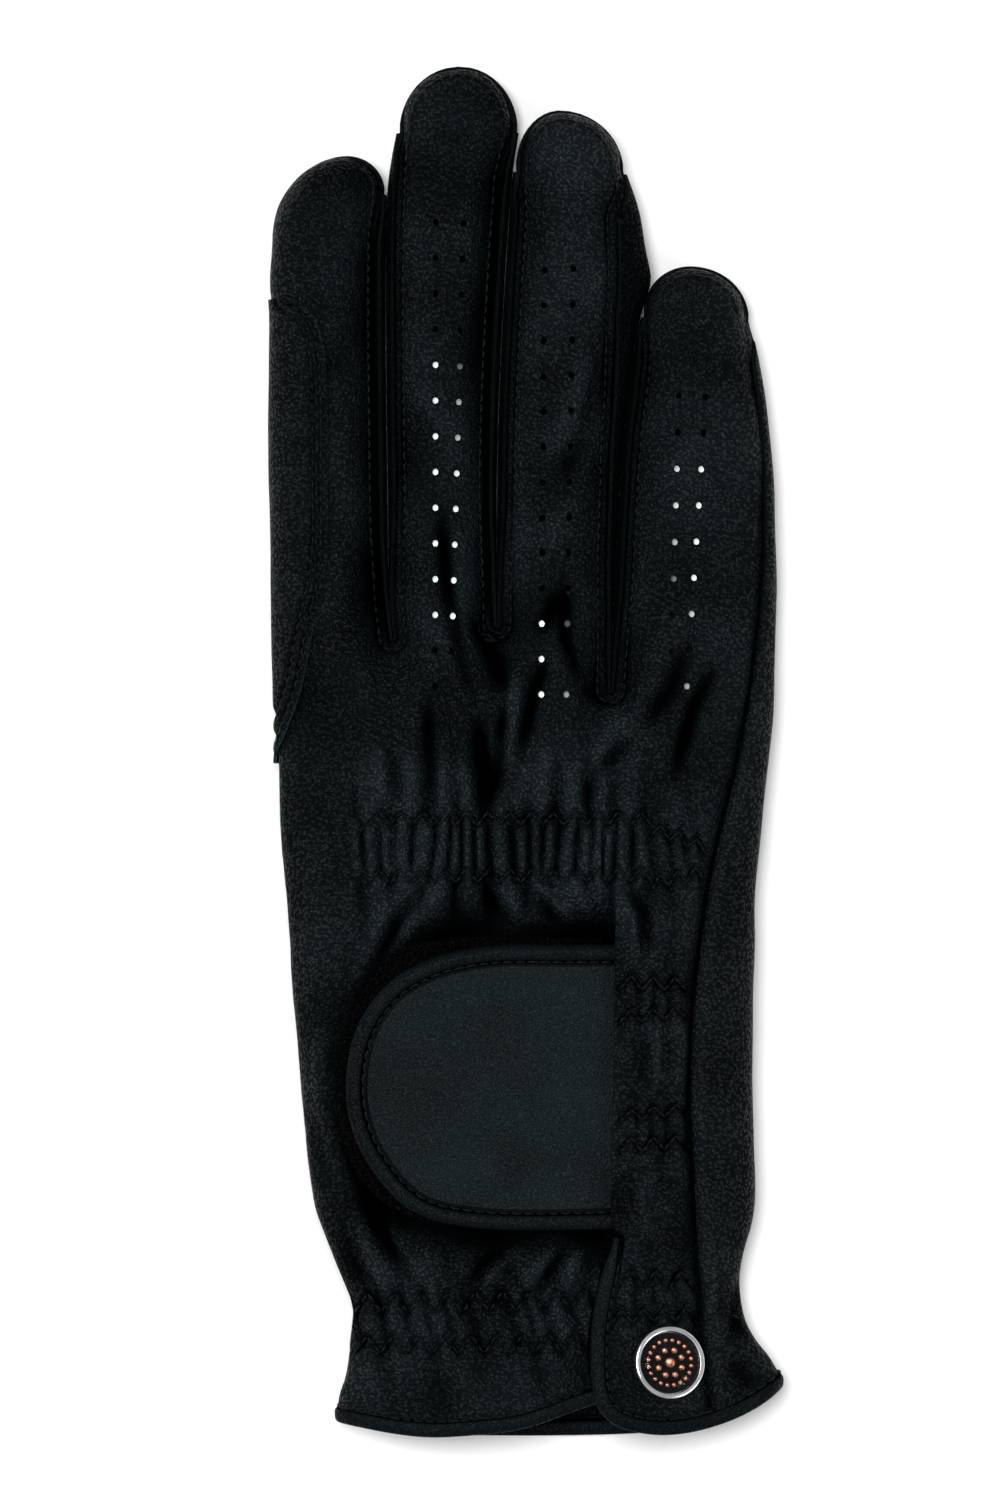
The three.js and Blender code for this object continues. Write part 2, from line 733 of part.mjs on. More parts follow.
// A leaf of leather from a grid of outer and inner points. Cells that are left out make the
// slits and openings, and every free edge gets a rim.
function sheetSolid(columns, rows, isCell, outerAt, innerAt) {
  const positions = [];
  const outer = [];
  const inner = [];
  const push = (point) => {
    positions.push(point.x, point.y, point.z);
    return positions.length / 3 - 1;
  };
  const used = (i, j) =>
    isCell(i, j) || isCell(i - 1, j) || isCell(i, j - 1) || isCell(i - 1, j - 1);
  for (let j = 0; j <= rows; j += 1) {
    for (let i = 0; i <= columns; i += 1) {
      const key = j * (columns + 1) + i;
      if (!used(i, j)) continue;
      outer[key] = push(outerAt(i, j));
      inner[key] = push(innerAt(i, j));
    }
  }
  const faces = [];
  const quad = (a, b, c, d) => faces.push(a, b, c, a, c, d);
  const at = (i, j) => j * (columns + 1) + i;
  for (let j = 0; j < rows; j += 1) {
    for (let i = 0; i < columns; i += 1) {
      if (!isCell(i, j)) continue;
      const corners = [at(i, j), at(i + 1, j), at(i + 1, j + 1), at(i, j + 1)];
      const sides = [isCell(i, j - 1), isCell(i + 1, j), isCell(i, j + 1), isCell(i - 1, j)];
      quad(...corners.map((k) => outer[k]));
      quad(...corners.map((k) => inner[k]).reverse());
      sides.forEach((joined, side) => {
        if (joined) return;
        const a = corners[side];
        const b = corners[(side + 1) % 4];
        quad(outer[b], outer[a], inner[a], inner[b]);
      });
    }
  }
  return solidFrom(positions, faces);
}

function solidFrom(positions, faces) {
  const build = (list) =>
    new wasm.Manifold(
      new wasm.Mesh({
        numProp: 3,
        vertProperties: new Float32Array(positions),
        triVerts: new Uint32Array(list),
      }),
    );
  const solid = build(faces);
  if (solid.volume() > 0) return solid;
  return build(faces.slice().reverse());
}

function geometryOf(solid) {
  const mesh = solid.getMesh();
  const geometry = new THREE.BufferGeometry();
  const points = [];
  for (let i = 0; i < mesh.vertProperties.length; i += mesh.numProp) {
    points.push(...mesh.vertProperties.slice(i, i + 3));
  }
  geometry.setAttribute("position", new THREE.Float32BufferAttribute(points, 3));
  geometry.setIndex(Array.from(mesh.triVerts));
  geometry.computeVertexNormals();
  return geometry;
}

const looks = {
  leather: { color: 0x101518, roughness: 0.5, metalness: 0 },
  tab: { color: 0x1e2426, roughness: 0.6, metalness: 0 },
  binding: { color: 0x0f1315, roughness: 0.45, metalness: 0 },
  pile: { color: 0x060607, roughness: 0.95, metalness: 0 },
  backing: { color: 0xd8dcdc, roughness: 0.9, metalness: 0 },
  metal: { color: 0xced4d5, roughness: 0.2, metalness: 1 },
  inlay: { color: 0x0a0a0a, roughness: 0.4, metalness: 0 },
  dome: { color: 0xffffff, roughness: 0.05, metalness: 0, transparent: true, opacity: 0.25 },
};

function addNode(name, geometry, look) {
  const node = new THREE.Mesh(geometry, new THREE.MeshStandardMaterial(looks[look]));
  node.name = name;
  glove.add(node);
}

// Columns of a leaf: finger block, share across it, and whether a pleat ridge runs there.
function leafColumns(counts, first) {
  const columns = first.map((across) => ({ block: 0, across, pleat: 0 }));
  counts.forEach((count, block) => {
    for (let i = 0; i <= count; i += 1) {
      const even = i / count;
      const rounded = (1 - Math.cos(Math.PI * even)) / 2;
      const across = block === 0 || counts[block] > 10 ? even : mix(even, rounded, 0.45);
      columns.push({ block, across, pleat: (i + block) % 2 });
    }
  });
  return columns;
}

function slitsOf(columns) {
  const slits = [];
  columns.forEach((column, i) => {
    const next = columns[i + 1];
    if (next && next.block !== column.block) slits.push(i);
  });
  return slits;
}

function alongOf(j, handCount) {
  return j <= handCount ? j - handCount : tipRows[j - handCount];
}

// Along the finger slits the rim of a leaf leans half way between its face and the slit, and
// at the tips it faces outwards, so that the rims of neighbouring leaves stay parallel.
function rimNormal(leaf, i, j) {
  const { block, across } = leaf.columns[i];
  const along = alongOf(j, leaf.handCount);
  const normal = normalOf(leaf.surface, block, across, along).multiplyScalar(leaf.facing);
  if (along === 1) return normal.setZ(0).normalize();
  const isLeft = leaf.slits.includes(i);
  const isRight = leaf.slits.includes(i - 1);
  if (along < 0 || !(isLeft || isRight)) return normal;
  return slitNormal(isLeft ? 1 : -1, along, leaf.facing);
}

function slitNormal(side, along, facing) {
  const out = new THREE.Vector3(side, along === 0 ? 1 : 0, 0).normalize();
  const lean = along > 0.96 ? 0.2 : 1;
  return out.add(new THREE.Vector3(0, 0, facing * lean)).normalize();
}

function leafSolid(leaf) {
  const rows = leaf.handCount + tipRows.length - 1;
  const last = leaf.columns.length - 1;
  const isCell = (i, j) => {
    if (i < 0 || j < 0 || i >= last || j >= rows) return false;
    const slit = leaf.slits.indexOf(i);
    if (slit < 0) return true;
    if (j >= leaf.handCount) return false;
    return slit !== 2 || j >= leaf.handCount - leaf.openFrom;
  };
  const place = (i, j) => {
    const { block, across } = leaf.columns[i];
    return leaf.surface(block, across, alongOf(j, leaf.handCount));
  };
  const outerAt = (i, j) => {
    const point = place(i, j);
    const { block, across, pleat } = leaf.columns[i];
    if (!leaf.isPleated || !pleat) return point;
    const fade = easeIn(across * 6 + (block ? 1 : 0)) * pleatReach(point.x, point.y);
    return point.addScaledVector(rimNormal(leaf, i, j), fade);
  };
  const innerAt = (i, j) => place(i, j).addScaledVector(rimNormal(leaf, i, j), -leather);
  return sheetSolid(last, rows, isCell, outerAt, innerAt);
}

const backColumns = leafColumns([7, 10, 10, 8], [-edgeWrap / 2, -edgeWrap / 4]);
const backLeaf = {
  surface: backPoint,
  columns: backColumns,
  slits: slitsOf(backColumns),
  handCount: handRows.length - 1,
  openFrom: ventRow,
  isPleated: true,
  facing: 1,
};
const palmColumns = leafColumns([4, 4, 4, 10], []);
const palmLeaf = {
  surface: palmPoint,
  columns: palmColumns,
  slits: slitsOf(palmColumns),
  handCount: palmRows.length - 1,
  openFrom: palmRows.length,
  isPleated: false,
  facing: -1,
};

function prismSolid(x, y, radiusX, radiusY, low, high, sides) {
  const shape = new THREE.CylinderGeometry(1, 1, high - low, sides).toNonIndexed();
  shape.rotateX(Math.PI / 2);
  shape.scale(radiusX, radiusY, 1);
  shape.translate(x, y, (low + high) / 2);
  return solidOf(shape);
}

function solidOf(shape) {
  const bare = new THREE.BufferGeometry();
  bare.setAttribute("position", shape.getAttribute("position"));
  const merged = mergeVertices(bare, 1e-4);
  return solidFrom(Array.from(merged.attributes.position.array), Array.from(merged.index.array));
}

// Rows of perforations along the fingers, from the one nearest the tip.
const holeSides = 4;
const holeRows = [
  { x: -17.3, y: 38.4, endX: -17.4, endY: 4.7, count: 14 },
  { x: -11.9, y: 38.3, endX: -14.2, endY: 7.2, count: 13 },
  { x: 3.6, y: 34.9, endX: 3.0, endY: 4.1, count: 13 },
  { x: 9.2, y: 35.0, endX: 7.8, endY: 4.1, count: 13 },
  { x: 29.5, y: 25.8, endX: 28.1, endY: 7.2, count: 8 },
  { x: 34.7, y: 25.7, endX: 31.0, endY: 4.7, count: 9 },
];

function perforated(solid) {
  let result = solid;
  holeRows.forEach((row) => {
    for (let i = 0; i < row.count; i += 1) {
      const share = i / (row.count - 1);
      const x = widthAt(mix(row.x, row.endX, share));
      const y = lengthAt(mix(row.y, row.endY, share));
      const z = handHeight / 2;
      result = result.subtract(prismSolid(x, y, holeRadius, holeRadius, z, 2 * z, holeSides));
    }
  });
  return result;
}

const backSolid = perforated(leafSolid(backLeaf));
addNode("back_panel", geometryOf(backSolid), "leather");

// The thumb hole of the palm opens into the folded thumb below it.
const thumbHole = {
  y: lengthAt(-19.3),
  reachX: 0.82 * thumbHalf,
  reachY: lengthAt(5.95),
  low: 0.4 * thumbTop,
  high: 1.8 * thumbTop,
  sides: 20,
};

function thumbHoleSolid() {
  const { y, reachX, reachY, low, high, sides } = thumbHole;
  return prismSolid(thumbX, y, reachX, reachY, low, high, sides);
}

const palmSolid = leafSolid(palmLeaf).subtract(thumbHoleSolid());
addNode("palm_panel", geometryOf(palmSolid), "leather");

// Side strips between the fingers: up one finger's side and down the next one's.
const stripThick = 1;
const stripGap = 0.55;
const stripRows = tipRows.slice(0, -1);

function stripStation(gap, side, along) {
  const block = side > 0 ? gap : gap + 1;
  const edge = side > 0 ? 1 : 0;
  const back = backPoint(block, edge, along);
  const palm = palmPoint(block, edge, along);
  const out = new THREE.Vector3(side, along === 0 ? 1 : 0, 0).normalize();
  const up = new THREE.Vector3(0, 0, 1);
  const topNormal = slitNormal(side, along, 1);
  const lowNormal = slitNormal(side, along, -1);
  const topStep = out.clone().multiplyScalar(topNormal.z).sub(up).normalize();
  const lowStep = out.clone().multiplyScalar(-lowNormal.z).add(up).normalize();
  const top = back.clone().addScaledVector(topStep, stripGap);
  const low = palm.clone().addScaledVector(lowStep, stripGap);
  const points = [0, 1 / 3, 2 / 3, 1].map((share) => {
    const point = low.clone().lerp(top, share);
    if (share === 0 || share === 1) return point;
    const outline = side > 0 ? rightOutline(block, point.y) : leftOutline(block, point.y);
    const other = side > 0 ? leftOutline(block, point.y) : rightOutline(block, point.y);
    const height = point.z > fingerMiddle ? fingerHeight - fingerMiddle : fingerMiddle + 0.5;
    const round = ringRise((point.z - fingerMiddle) / height);
    const middle = (outline + other) / 2;
    const blend = easeIn(along / blendEnd);
    point.x = mix(outline, middle + (outline - middle) * Math.max(round, 0.6), blend);
    return point;
  });
  const inward = along === 0 ? out.clone().multiplyScalar(Math.SQRT2) : out;
  const normals = [lowNormal, inward, inward, topNormal];
  return { points, normals };
}

function stripSolid(gap) {
  const stations = [
    ...stripRows.slice().reverse().map((along) => stripStation(gap, 1, along)),
    ...stripRows.map((along) => stripStation(gap, -1, along)),
  ];
  const columns = stations.length - 1;
  const isCell = (i, j) => i >= 0 && j >= 0 && i < columns && j < 3;
  const outerAt = (i, j) => stations[i].points[j].clone();
  const innerAt = (i, j) => outerAt(i, j).addScaledVector(stations[i].normals[j], -stripThick);
  return sheetSolid(columns, 3, isCell, outerAt, innerAt);
}

["index_middle", "middle_ring", "ring_little"].forEach((name, gap) => {
  addNode(`fourchette_${name}`, geometryOf(stripSolid(gap)), "leather");
});

// Folded thumb: a hollow tube from its mouth under the thumb hole to its tip. Each station
// has the levels of its upper and lower lines in percent of the glove's length, their heights
// in percent of the thumb's and its half width in percent of the thumb's.
const thumbStations = [
  { topLevel: -12.6, topHeight: 100, lowLevel: -26.0, lowHeight: 100, half: 94 },
  { topLevel: -12.4, topHeight: 100, lowLevel: -25.5, lowHeight: 44, half: 98 },
  { topLevel: -11.9, topHeight: 100, lowLevel: -23.1, lowHeight: 4, half: 100 },
  { topLevel: -10.5, topHeight: 100, lowLevel: -17.6, lowHeight: 0, half: 100 },
  { topLevel: -7.5, topHeight: 100, lowLevel: -10.1, lowHeight: 0, half: 99 },
  { topLevel: -3.8, topHeight: 100, lowLevel: -4.2, lowHeight: 0, half: 97 },
  { topLevel: 0, topHeight: 98, lowLevel: 0, lowHeight: 0, half: 92 },
  { topLevel: 2.3, topHeight: 91, lowLevel: 2.3, lowHeight: 0, half: 80 },
  { topLevel: 3.8, topHeight: 79, lowLevel: 3.8, lowHeight: 5, half: 56 },
  { topLevel: 4.5, topHeight: 59, lowLevel: 4.5, lowHeight: 30, half: 23 },
];
const thumbSides = 14;

function thumbRing(row, inset) {
  const points = [];
  const heightAt = (percent) => (percent / 100) * thumbTop;
  const top = new THREE.Vector3(thumbX, lengthAt(row.topLevel), heightAt(row.topHeight));
  const low = new THREE.Vector3(thumbX, lengthAt(row.lowLevel), heightAt(row.lowHeight));
  const middle = top.clone().lerp(low, 0.5);
  const reach = top.clone().sub(low).multiplyScalar(0.5);
  const full = reach.length();
  reach.multiplyScalar((full - inset) / full);
  for (let i = 0; i < thumbSides; i += 1) {
    const angle = (2 * Math.PI * i) / thumbSides;
    const point = middle.clone().addScaledVector(reach, ringUp(angle));
    point.x += ((row.half / 100) * thumbHalf - inset) * ringAcross(angle);
    points.push(point);
  }
  return points;
}

function thumbSolid() {
  const outer = thumbStations.map((row) => thumbRing(row, 0));
  const innerRows = thumbStations.slice(0, -1).map((row, i, all) => {
    if (i < all.length - 1) return row;
    return { ...row, topLevel: row.topLevel + 0.17, lowLevel: row.lowLevel + 0.17 };
  });
  const inner = innerRows.map((row) => thumbRing(row, leather));
  const rings = [...inner.reverse(), ...outer];
  const positions = [];
  rings.forEach((ring) => ring.forEach((point) => positions.push(point.x, point.y, point.z)));
  const faces = [];
  const at = (ring, i) => ring * thumbSides + (i % thumbSides);
  for (let k = 0; k < rings.length - 1; k += 1) {
    for (let i = 0; i < thumbSides; i += 1) {
      faces.push(at(k, i), at(k, i + 1), at(k + 1, i + 1));
      faces.push(at(k, i), at(k + 1, i + 1), at(k + 1, i));
    }
  }
  for (let i = 1; i < thumbSides - 1; i += 1) {
    faces.push(at(0, 0), at(0, i + 1), at(0, i));
    faces.push(at(rings.length - 1, 0), at(rings.length - 1, i), at(rings.length - 1, i + 1));
  }
  return solidFrom(positions, faces);
}

addNode("thumb", geometryOf(thumbSolid()), "leather");

// A place on the back leaf by its x and level, found by halving the share across the block.
function acrossAt(block, x, y) {
  let low = block === 0 ? 0 : -0.2;
  let high = 1.2;
  for (let i = 0; i < 24; i += 1) {
    const half = (low + high) / 2;
    if (backAtLevel(block, half, y).x < x) low = half;
    else high = half;
  }
  return (low + high) / 2;
}

function levelNormal(block, across, y) {
  const here = backAtLevel(block, across, y);
  const aside = backAtLevel(block, across + 0.01, y).sub(here);
  const above = backAtLevel(block, across, y + 0.3).sub(here);
  return aside.cross(above).normalize();
}

function layerSolid(block, rows, columns, startAcross, low, high) {
  const spans = rows.map((row) => {
    const y = lengthAt(row.y);
    const start = row.left === undefined ? startAcross : acrossAt(block, widthAt(row.left), y);
    return { y, start, end: acrossAt(block, widthAt(row.right), y) };
  });
  const isCell = (i, j) => i >= 0 && j >= 0 && i < columns && j < rows.length - 1;
  const at = (i, j, lift) => {
    const { y, start, end } = spans[j];
    const across = mix(start, end, i / columns);
    const normal = levelNormal(block, across, y);
    return backAtLevel(block, across, y).addScaledVector(normal, lift);
  };
  const outerAt = (i, j) => at(i, j, high);
  const innerAt = (i, j) => at(i, j, low);
  return sheetSolid(columns, rows.length - 1, isCell, outerAt, innerAt);
}

// Reinforcement on the index side: right edge of the patch by level.
const patchRows = [
  { y: -0.7, right: -48.2 },
  { y: 1.6, right: -45.6 },
  { y: 4.4, right: -43.0 },
  { y: 8.1, right: -41.1 },
  { y: 13.9, right: -38.2 },
  { y: 20, right: -38.0 },
  { y: 25.5, right: -38.0 },
  { y: 29.9, right: -38.9 },
  { y: 31.8, right: -41.0 },
  { y: 32.9, right: -44.0 },
];
addNode(
  "index_patch",
  geometryOf(layerSolid(0, patchRows, 5, -edgeWrap * 0.4, patchGap, patchGap + patchThick)),
  "leather",
);

// Pale backing behind the perforations of three fingers.
const backingThick = 1;
const backings = [
  { name: "middle", block: 1, left: -20, right: -9.5, depth: 1.8, levels: [6, 12, 18, 24, 30] },
  { name: "ring", block: 2, left: 1, right: 10.5, depth: 1.2, levels: [1, 5, 10] },
  { name: "little", block: 3, left: 26, right: 37, depth: 1.8, levels: [3, 9, 15, 21] },
];
backings.forEach(({ name, block, left, right, depth, levels }) => {
  const rows = levels.map((y) => ({ y, left, right }));
  const high = -leather - depth;
  const strip = layerSolid(block, rows, 3, 0, high - backingThick, high);
  addNode(`backing_${name}`, geometryOf(strip), "backing");
});

// Flat pieces that lie over the back: the tab field and the pile pad.
function underTab(x, y) {
  return plainTop(x, y) + ventStep(x, y, false);
}

function rimPoints(rows, count, inset) {
  const spline = new THREE.SplineCurve(
    rows.map((row) => new THREE.Vector2(widthAt(row.x), lengthAt(row.y))),
  );
  const points = [];
  for (let i = 0; i <= count; i += 1) {
    const point = spline.getPointAt(i / count);
    const ahead = spline.getTangentAt(i / count);
    points.push({ x: point.x - ahead.y * inset, y: point.y + ahead.x * inset, ahead });
  }
  return points;
}

function plateSolid(rows, stations, inset, low, high) {
  const rim = rimPoints(rows, stations * 2, inset);
  const isCell = (i, j) => i >= 0 && j >= 0 && i < stations - 1 && j < 4;
  const at = (i, j, lift) => {
    const upper = rim[i];
    const lower = rim[rim.length - 1 - i];
    const x = mix(upper.x, lower.x, j / 4);
    const y = mix(upper.y, lower.y, j / 4);
    return new THREE.Vector3(x, y, underTab(x, y) + lift);
  };
  const outerAt = (i, j) => at(i, j, high);
  const innerAt = (i, j) => at(i, j, low);
  return sheetSolid(stations - 1, 4, isCell, outerAt, innerAt);
}

const padTop = padGap + padThick;
const tabLow = padTop + layerGap;
const tabBinding = 4;
const tabBindingThick = 1.6;
addNode("loop_pad", geometryOf(plateSolid(padRim, 11, 0, padGap, padTop)), "pile");
addNode(
  "closure_tab",
  geometryOf(plateSolid(tabRim, 12, tabBinding + seamGap, tabLow, tabLow + tabThick)),
  "tab",
);

// A rolled strip along a path: each station has a place, a side direction and an up direction.
const rollSides = 6;

function rollSolid(stations, wide, thick) {
  const positions = [];
  stations.forEach(({ place, side, up }) => {
    for (let i = 0; i < rollSides; i += 1) {
      const angle = (2 * Math.PI * (i + 0.5)) / rollSides;
      const point = place
        .clone()
        .addScaledVector(side, (wide / 2) * ringAcross(angle))
        .addScaledVector(up, (thick / 2) * ringUp(angle));
      positions.push(point.x, point.y, point.z);
    }
  });
  const faces = [];
  const at = (k, i) => k * rollSides + (i % rollSides);
  const last = stations.length - 1;
  for (let k = 0; k < last; k += 1) {
    for (let i = 0; i < rollSides; i += 1) {
      faces.push(at(k, i), at(k, i + 1), at(k + 1, i + 1));
      faces.push(at(k, i), at(k + 1, i + 1), at(k + 1, i));
    }
  }
  for (let i = 1; i < rollSides - 1; i += 1) {
    faces.push(at(0, 0), at(0, i + 1), at(0, i), at(last, 0), at(last, i), at(last, i + 1));
  }
  return solidFrom(positions, faces);
}

const tabRoll = rimPoints(tabRim, 26, tabBinding / 2).map(({ x, y, ahead }) => {
  const side = new THREE.Vector3(-ahead.y, ahead.x, 0);
  const along = new THREE.Vector3(ahead.x, ahead.y, 0);
  const lift = tabLow + tabBindingThick / 2;
  const lean = underTab(x + side.x, y + side.y) - underTab(x - side.x, y - side.y);
  side.z = lean / 2;
  side.normalize();
  const up = along.clone().cross(side).normalize();
  if (up.z < 0) up.negate();
  return { place: new THREE.Vector3(x, y, underTab(x, y) + lift), side, up };
});
addNode("tab_binding", geometryOf(rollSolid(tabRoll, tabBinding, tabBindingThick)), "binding");

// Rolled binding round the wrist: from the left of the vent over the hem to the index edge,
// under the palm to the little-finger edge, back over the flap's hem and up the vent.
const ventCorner = [
  { x: 19.6, y: -48.5 },
  { x: 17.2, y: -48.1 },
  { x: 15.3, y: -47.2 },
  { x: 14.4, y: -45.6 },
  { x: 14.3, y: -43.6 },
  { x: 14.5, y: -41.5 },
  { x: 15.7, y: -38.9 },
  { x: 16.9, y: -36.9 },
  { x: 17.6, y: -35.3 },
];
const hemStations = { left: 12, edge: 5, palm: 12, flap: 9 };

function hemPlace(angle, onFlap) {
  const span = handSpan(lengthAt(-49));
  const x = span.middle + span.half * ringAcross(angle);
  const isTop = Math.sin(angle) > 0;
  const y = (isTop ? backHem(x) : palmHem(x)) + bindingWidth / 2;
  const { middle, half } = handSpan(y);
  const low = edgeHeight(y);
  const wide = middle + (half - bindingThick * 0.2) * ringAcross(angle);
  if (!isTop) {
    const under = Math.max(low + (low + 0.6) * ringUp(angle), 0) + bindingThick / 2;
    return new THREE.Vector3(wide, y, Math.max(mix(low, under, 1), bindingThick / 2));
  }
  const relief = (handTop(x, y, onFlap) - plainTop(x, y)) * easeIn(Math.sin(angle) * 2);
  const top = low + (crownHeight(y) - low) * ringUp(angle) + relief - leather / 2;
  return new THREE.Vector3(wide, y, Math.max(top, low));
}

function hemBinding() {
  const { middle, half } = handSpan(lengthAt(-49));
  const ventAngle = (percent) => angleAt((widthAt(percent) - middle) / half);
  const turn = 0.45;
  const places = [];
  const run = (from, to, count, onFlap) => {
    for (let i = 0; i < count; i += 1) places.push(hemPlace(mix(from, to, i / count), onFlap));
  };
  run(ventAngle(13.4), Math.PI - turn, hemStations.left, false);
  run(Math.PI - turn, Math.PI + turn, hemStations.edge, false);
  run(Math.PI + turn, 2 * Math.PI - turn, hemStations.palm, false);
  run(2 * Math.PI - turn, 2 * Math.PI + turn, hemStations.edge, true);
  run(2 * Math.PI + turn, 2 * Math.PI + ventAngle(21.5), hemStations.flap, true);
  ventCorner.forEach((row) => {
    const x = widthAt(row.x);
    const y = lengthAt(row.y);
    places.push(new THREE.Vector3(x, y, handTop(x, y, true) - leather / 2));
  });
  return places.map((place, i) => {
    const before = places[Math.max(i - 1, 0)];
    const after = places[Math.min(i + 1, places.length - 1)];
    const ahead = after.clone().sub(before).normalize();
    const inside = new THREE.Vector3(0, 1, 0);
    if (i >= places.length - ventCorner.length) {
      inside.set(ahead.y, -ahead.x, 0);
    }
    const side = inside.addScaledVector(ahead, -inside.dot(ahead)).normalize();
    const up = side.clone().cross(ahead).normalize();
    return { place, side, up };
  });
}

addNode("hem_binding", geometryOf(rollSolid(hemBinding(), bindingWidth, bindingThick)), "binding");

// Snap: a metal cup with a raised rim, a dark inlay disc in it and a clear dome over that.
const snapPlace = { x: 27.0, y: -44.4 };
const snapSides = 20;
const snapCup = [
  [0, 0],
  [0.94, 0],
  [1, 0.3],
  [1, 1.4],
  [0.95, 1.8],
  [0.86, 1.8],
  [0.86, 0.6],
  [0, 0.6],
];
const snapInlay = [
  [0, 0.95],
  [0.8, 0.95],
  [0.8, 1.25],
  [0, 1.25],
];
const snapDome = [
  [0, 1.6],
  [0.8, 1.6],
  [0.8, 1.8],
  [0.62, 2.25],
  [0.34, 2.55],
  [0, 2.65],
];

function latheGeometry(profile) {
  const points = profile.map(([share, z]) => new THREE.Vector2(share * snapRadius, z));
  const shape = new THREE.LatheGeometry(points, snapSides);
  shape.rotateX(Math.PI / 2);
  const x = widthAt(snapPlace.x);
  const y = lengthAt(snapPlace.y);
  const reach = snapRadius * 0.8;
  const height = (dx, dy) => handTop(x + dx * reach, y + dy * reach, true);
  const leanX = (height(1, 0) - height(-1, 0)) / (2 * reach);
  const leanY = (height(0, 1) - height(0, -1)) / (2 * reach);
  const up = new THREE.Vector3(-leanX, -leanY, 1).normalize();
  const lift = new THREE.Vector3(x, y, height(0, 0)).addScaledVector(up, snapLift);
  shape.applyQuaternion(new THREE.Quaternion().setFromUnitVectors(new THREE.Vector3(0, 0, 1), up));
  shape.translate(lift.x, lift.y, lift.z);
  return geometryOf(solidOf(shape.toNonIndexed()));
}

addNode("snap_cap", latheGeometry(snapCup), "metal");
addNode("snap_inlay", latheGeometry(snapInlay), "inlay");
addNode("snap_dome", latheGeometry(snapDome), "dome");

export default glove;
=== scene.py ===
import math
import bmesh
import bpy
import numpy as np
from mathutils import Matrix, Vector, noise
from mathutils.bvhtree import BVHTree
from mathutils.kdtree import KDTree


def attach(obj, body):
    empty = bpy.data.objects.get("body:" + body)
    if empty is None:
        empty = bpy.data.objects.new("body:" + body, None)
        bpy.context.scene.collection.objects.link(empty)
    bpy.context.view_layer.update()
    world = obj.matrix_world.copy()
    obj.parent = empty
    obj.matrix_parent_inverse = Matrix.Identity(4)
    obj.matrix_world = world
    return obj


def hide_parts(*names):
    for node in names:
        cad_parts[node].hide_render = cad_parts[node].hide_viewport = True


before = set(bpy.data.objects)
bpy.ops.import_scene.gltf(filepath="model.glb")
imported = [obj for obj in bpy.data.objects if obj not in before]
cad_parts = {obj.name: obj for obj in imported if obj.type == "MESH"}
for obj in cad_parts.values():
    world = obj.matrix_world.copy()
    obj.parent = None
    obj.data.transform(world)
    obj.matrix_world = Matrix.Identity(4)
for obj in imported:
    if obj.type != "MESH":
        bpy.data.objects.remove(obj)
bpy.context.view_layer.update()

print("stage 1: frame loaded")

# A right-hand riding glove lying palm down. X runs across the hand, Y from the wrist to the
# fingertips, Z up. Sizes are in millimetres until a mesh is made. Places in the tables are
# percent of the glove's length (y) and width (x), counted from its middle.
glove = {
    "length": 238.5,
    "width": 90.0,
    "height": 18.0,
    "fingerHeight": 12.6,
    "leather": 0.8,
    "slit": 0.8,
    "groove": 0.3,
    "squareness": 2.6,
    "seamInset": 0.8,
    "tipRound": 8.0,
    "edgeWrap": 0.5,
    "ventDrop": 1.6,
    "flapRise": 3.8,
    "seed": 7,
}


def lengthAt(percent):
    return np.asarray(percent, float) / 100 * glove["length"]


def widthAt(percent):
    return np.asarray(percent, float) / 100 * glove["width"]


def mix(start, end, share):
    return start + (end - start) * share


def easeIn(share):
    held = np.clip(share, 0, 1)
    return held * held * (3 - 2 * held)


def curveThrough(keys, values):
    # a smooth curve through the rows of a table, level beyond its ends
    keys = np.asarray(keys, float)
    values = np.asarray(values, float)
    last = len(keys) - 1
    before = np.maximum(np.arange(last + 1) - 1, 0)
    after = np.minimum(np.arange(last + 1) + 1, last)
    slopes = (values[after] - values[before]) / (keys[after] - keys[before])

    def curve(at):
        key = np.clip(at, keys[0], keys[last])
        i = np.clip(np.searchsorted(keys, key, side="left") - 1, 0, last - 1)
        span = keys[i + 1] - keys[i]
        t = (key - keys[i]) / span
        bend = span * t * (1 - t) * ((1 - t) * slopes[i] - t * slopes[i + 1])
        return mix(values[i], values[i + 1], t * t * (3 - 2 * t)) + bend

    return curve


def lineOf(rows):
    return curveThrough(lengthAt([y for y, x in rows]), widthAt([x for y, x in rows]))


def hemOf(rows):
    return curveThrough(widthAt([x for x, y in rows]), lengthAt([y for x, y in rows]))


# outline of the hand with the outer sides of the index and little fingers: y, x
indexSide = lineOf([
    (-49.5, -36.8), (-47.2, -35.9), (-44.3, -34.1), (-42.1, -33.6), (-40.0, -34.3), (-37.0, -37.2),
    (-32.7, -40.7), (-25.4, -43.3), (-18.1, -45.0), (-10.8, -46.5), (-4.3, -47.5), (-1.0, -47.6),
    (11.0, -48.1), (18.3, -48.4), (25.5, -48.7), (32.0, -48.6), (34.6, -49.2), (37.2, -48.8),
])
littleSide = lineOf([
    (-49.0, 50.2), (-46.5, 50.0), (-44.3, 47.2), (-42.9, 44.4), (-41.2, 42.3), (-38.5, 41.4),
    (-36.8, 42.0), (-34.2, 43.8), (-31.5, 44.3), (-25.4, 43.8), (-18.1, 44.0), (-10.8, 44.4),
    (-3.6, 46.1), (3.7, 47.9), (11.0, 48.5), (18.3, 47.9), (25.5, 46.3), (31.4, 43.2),
])
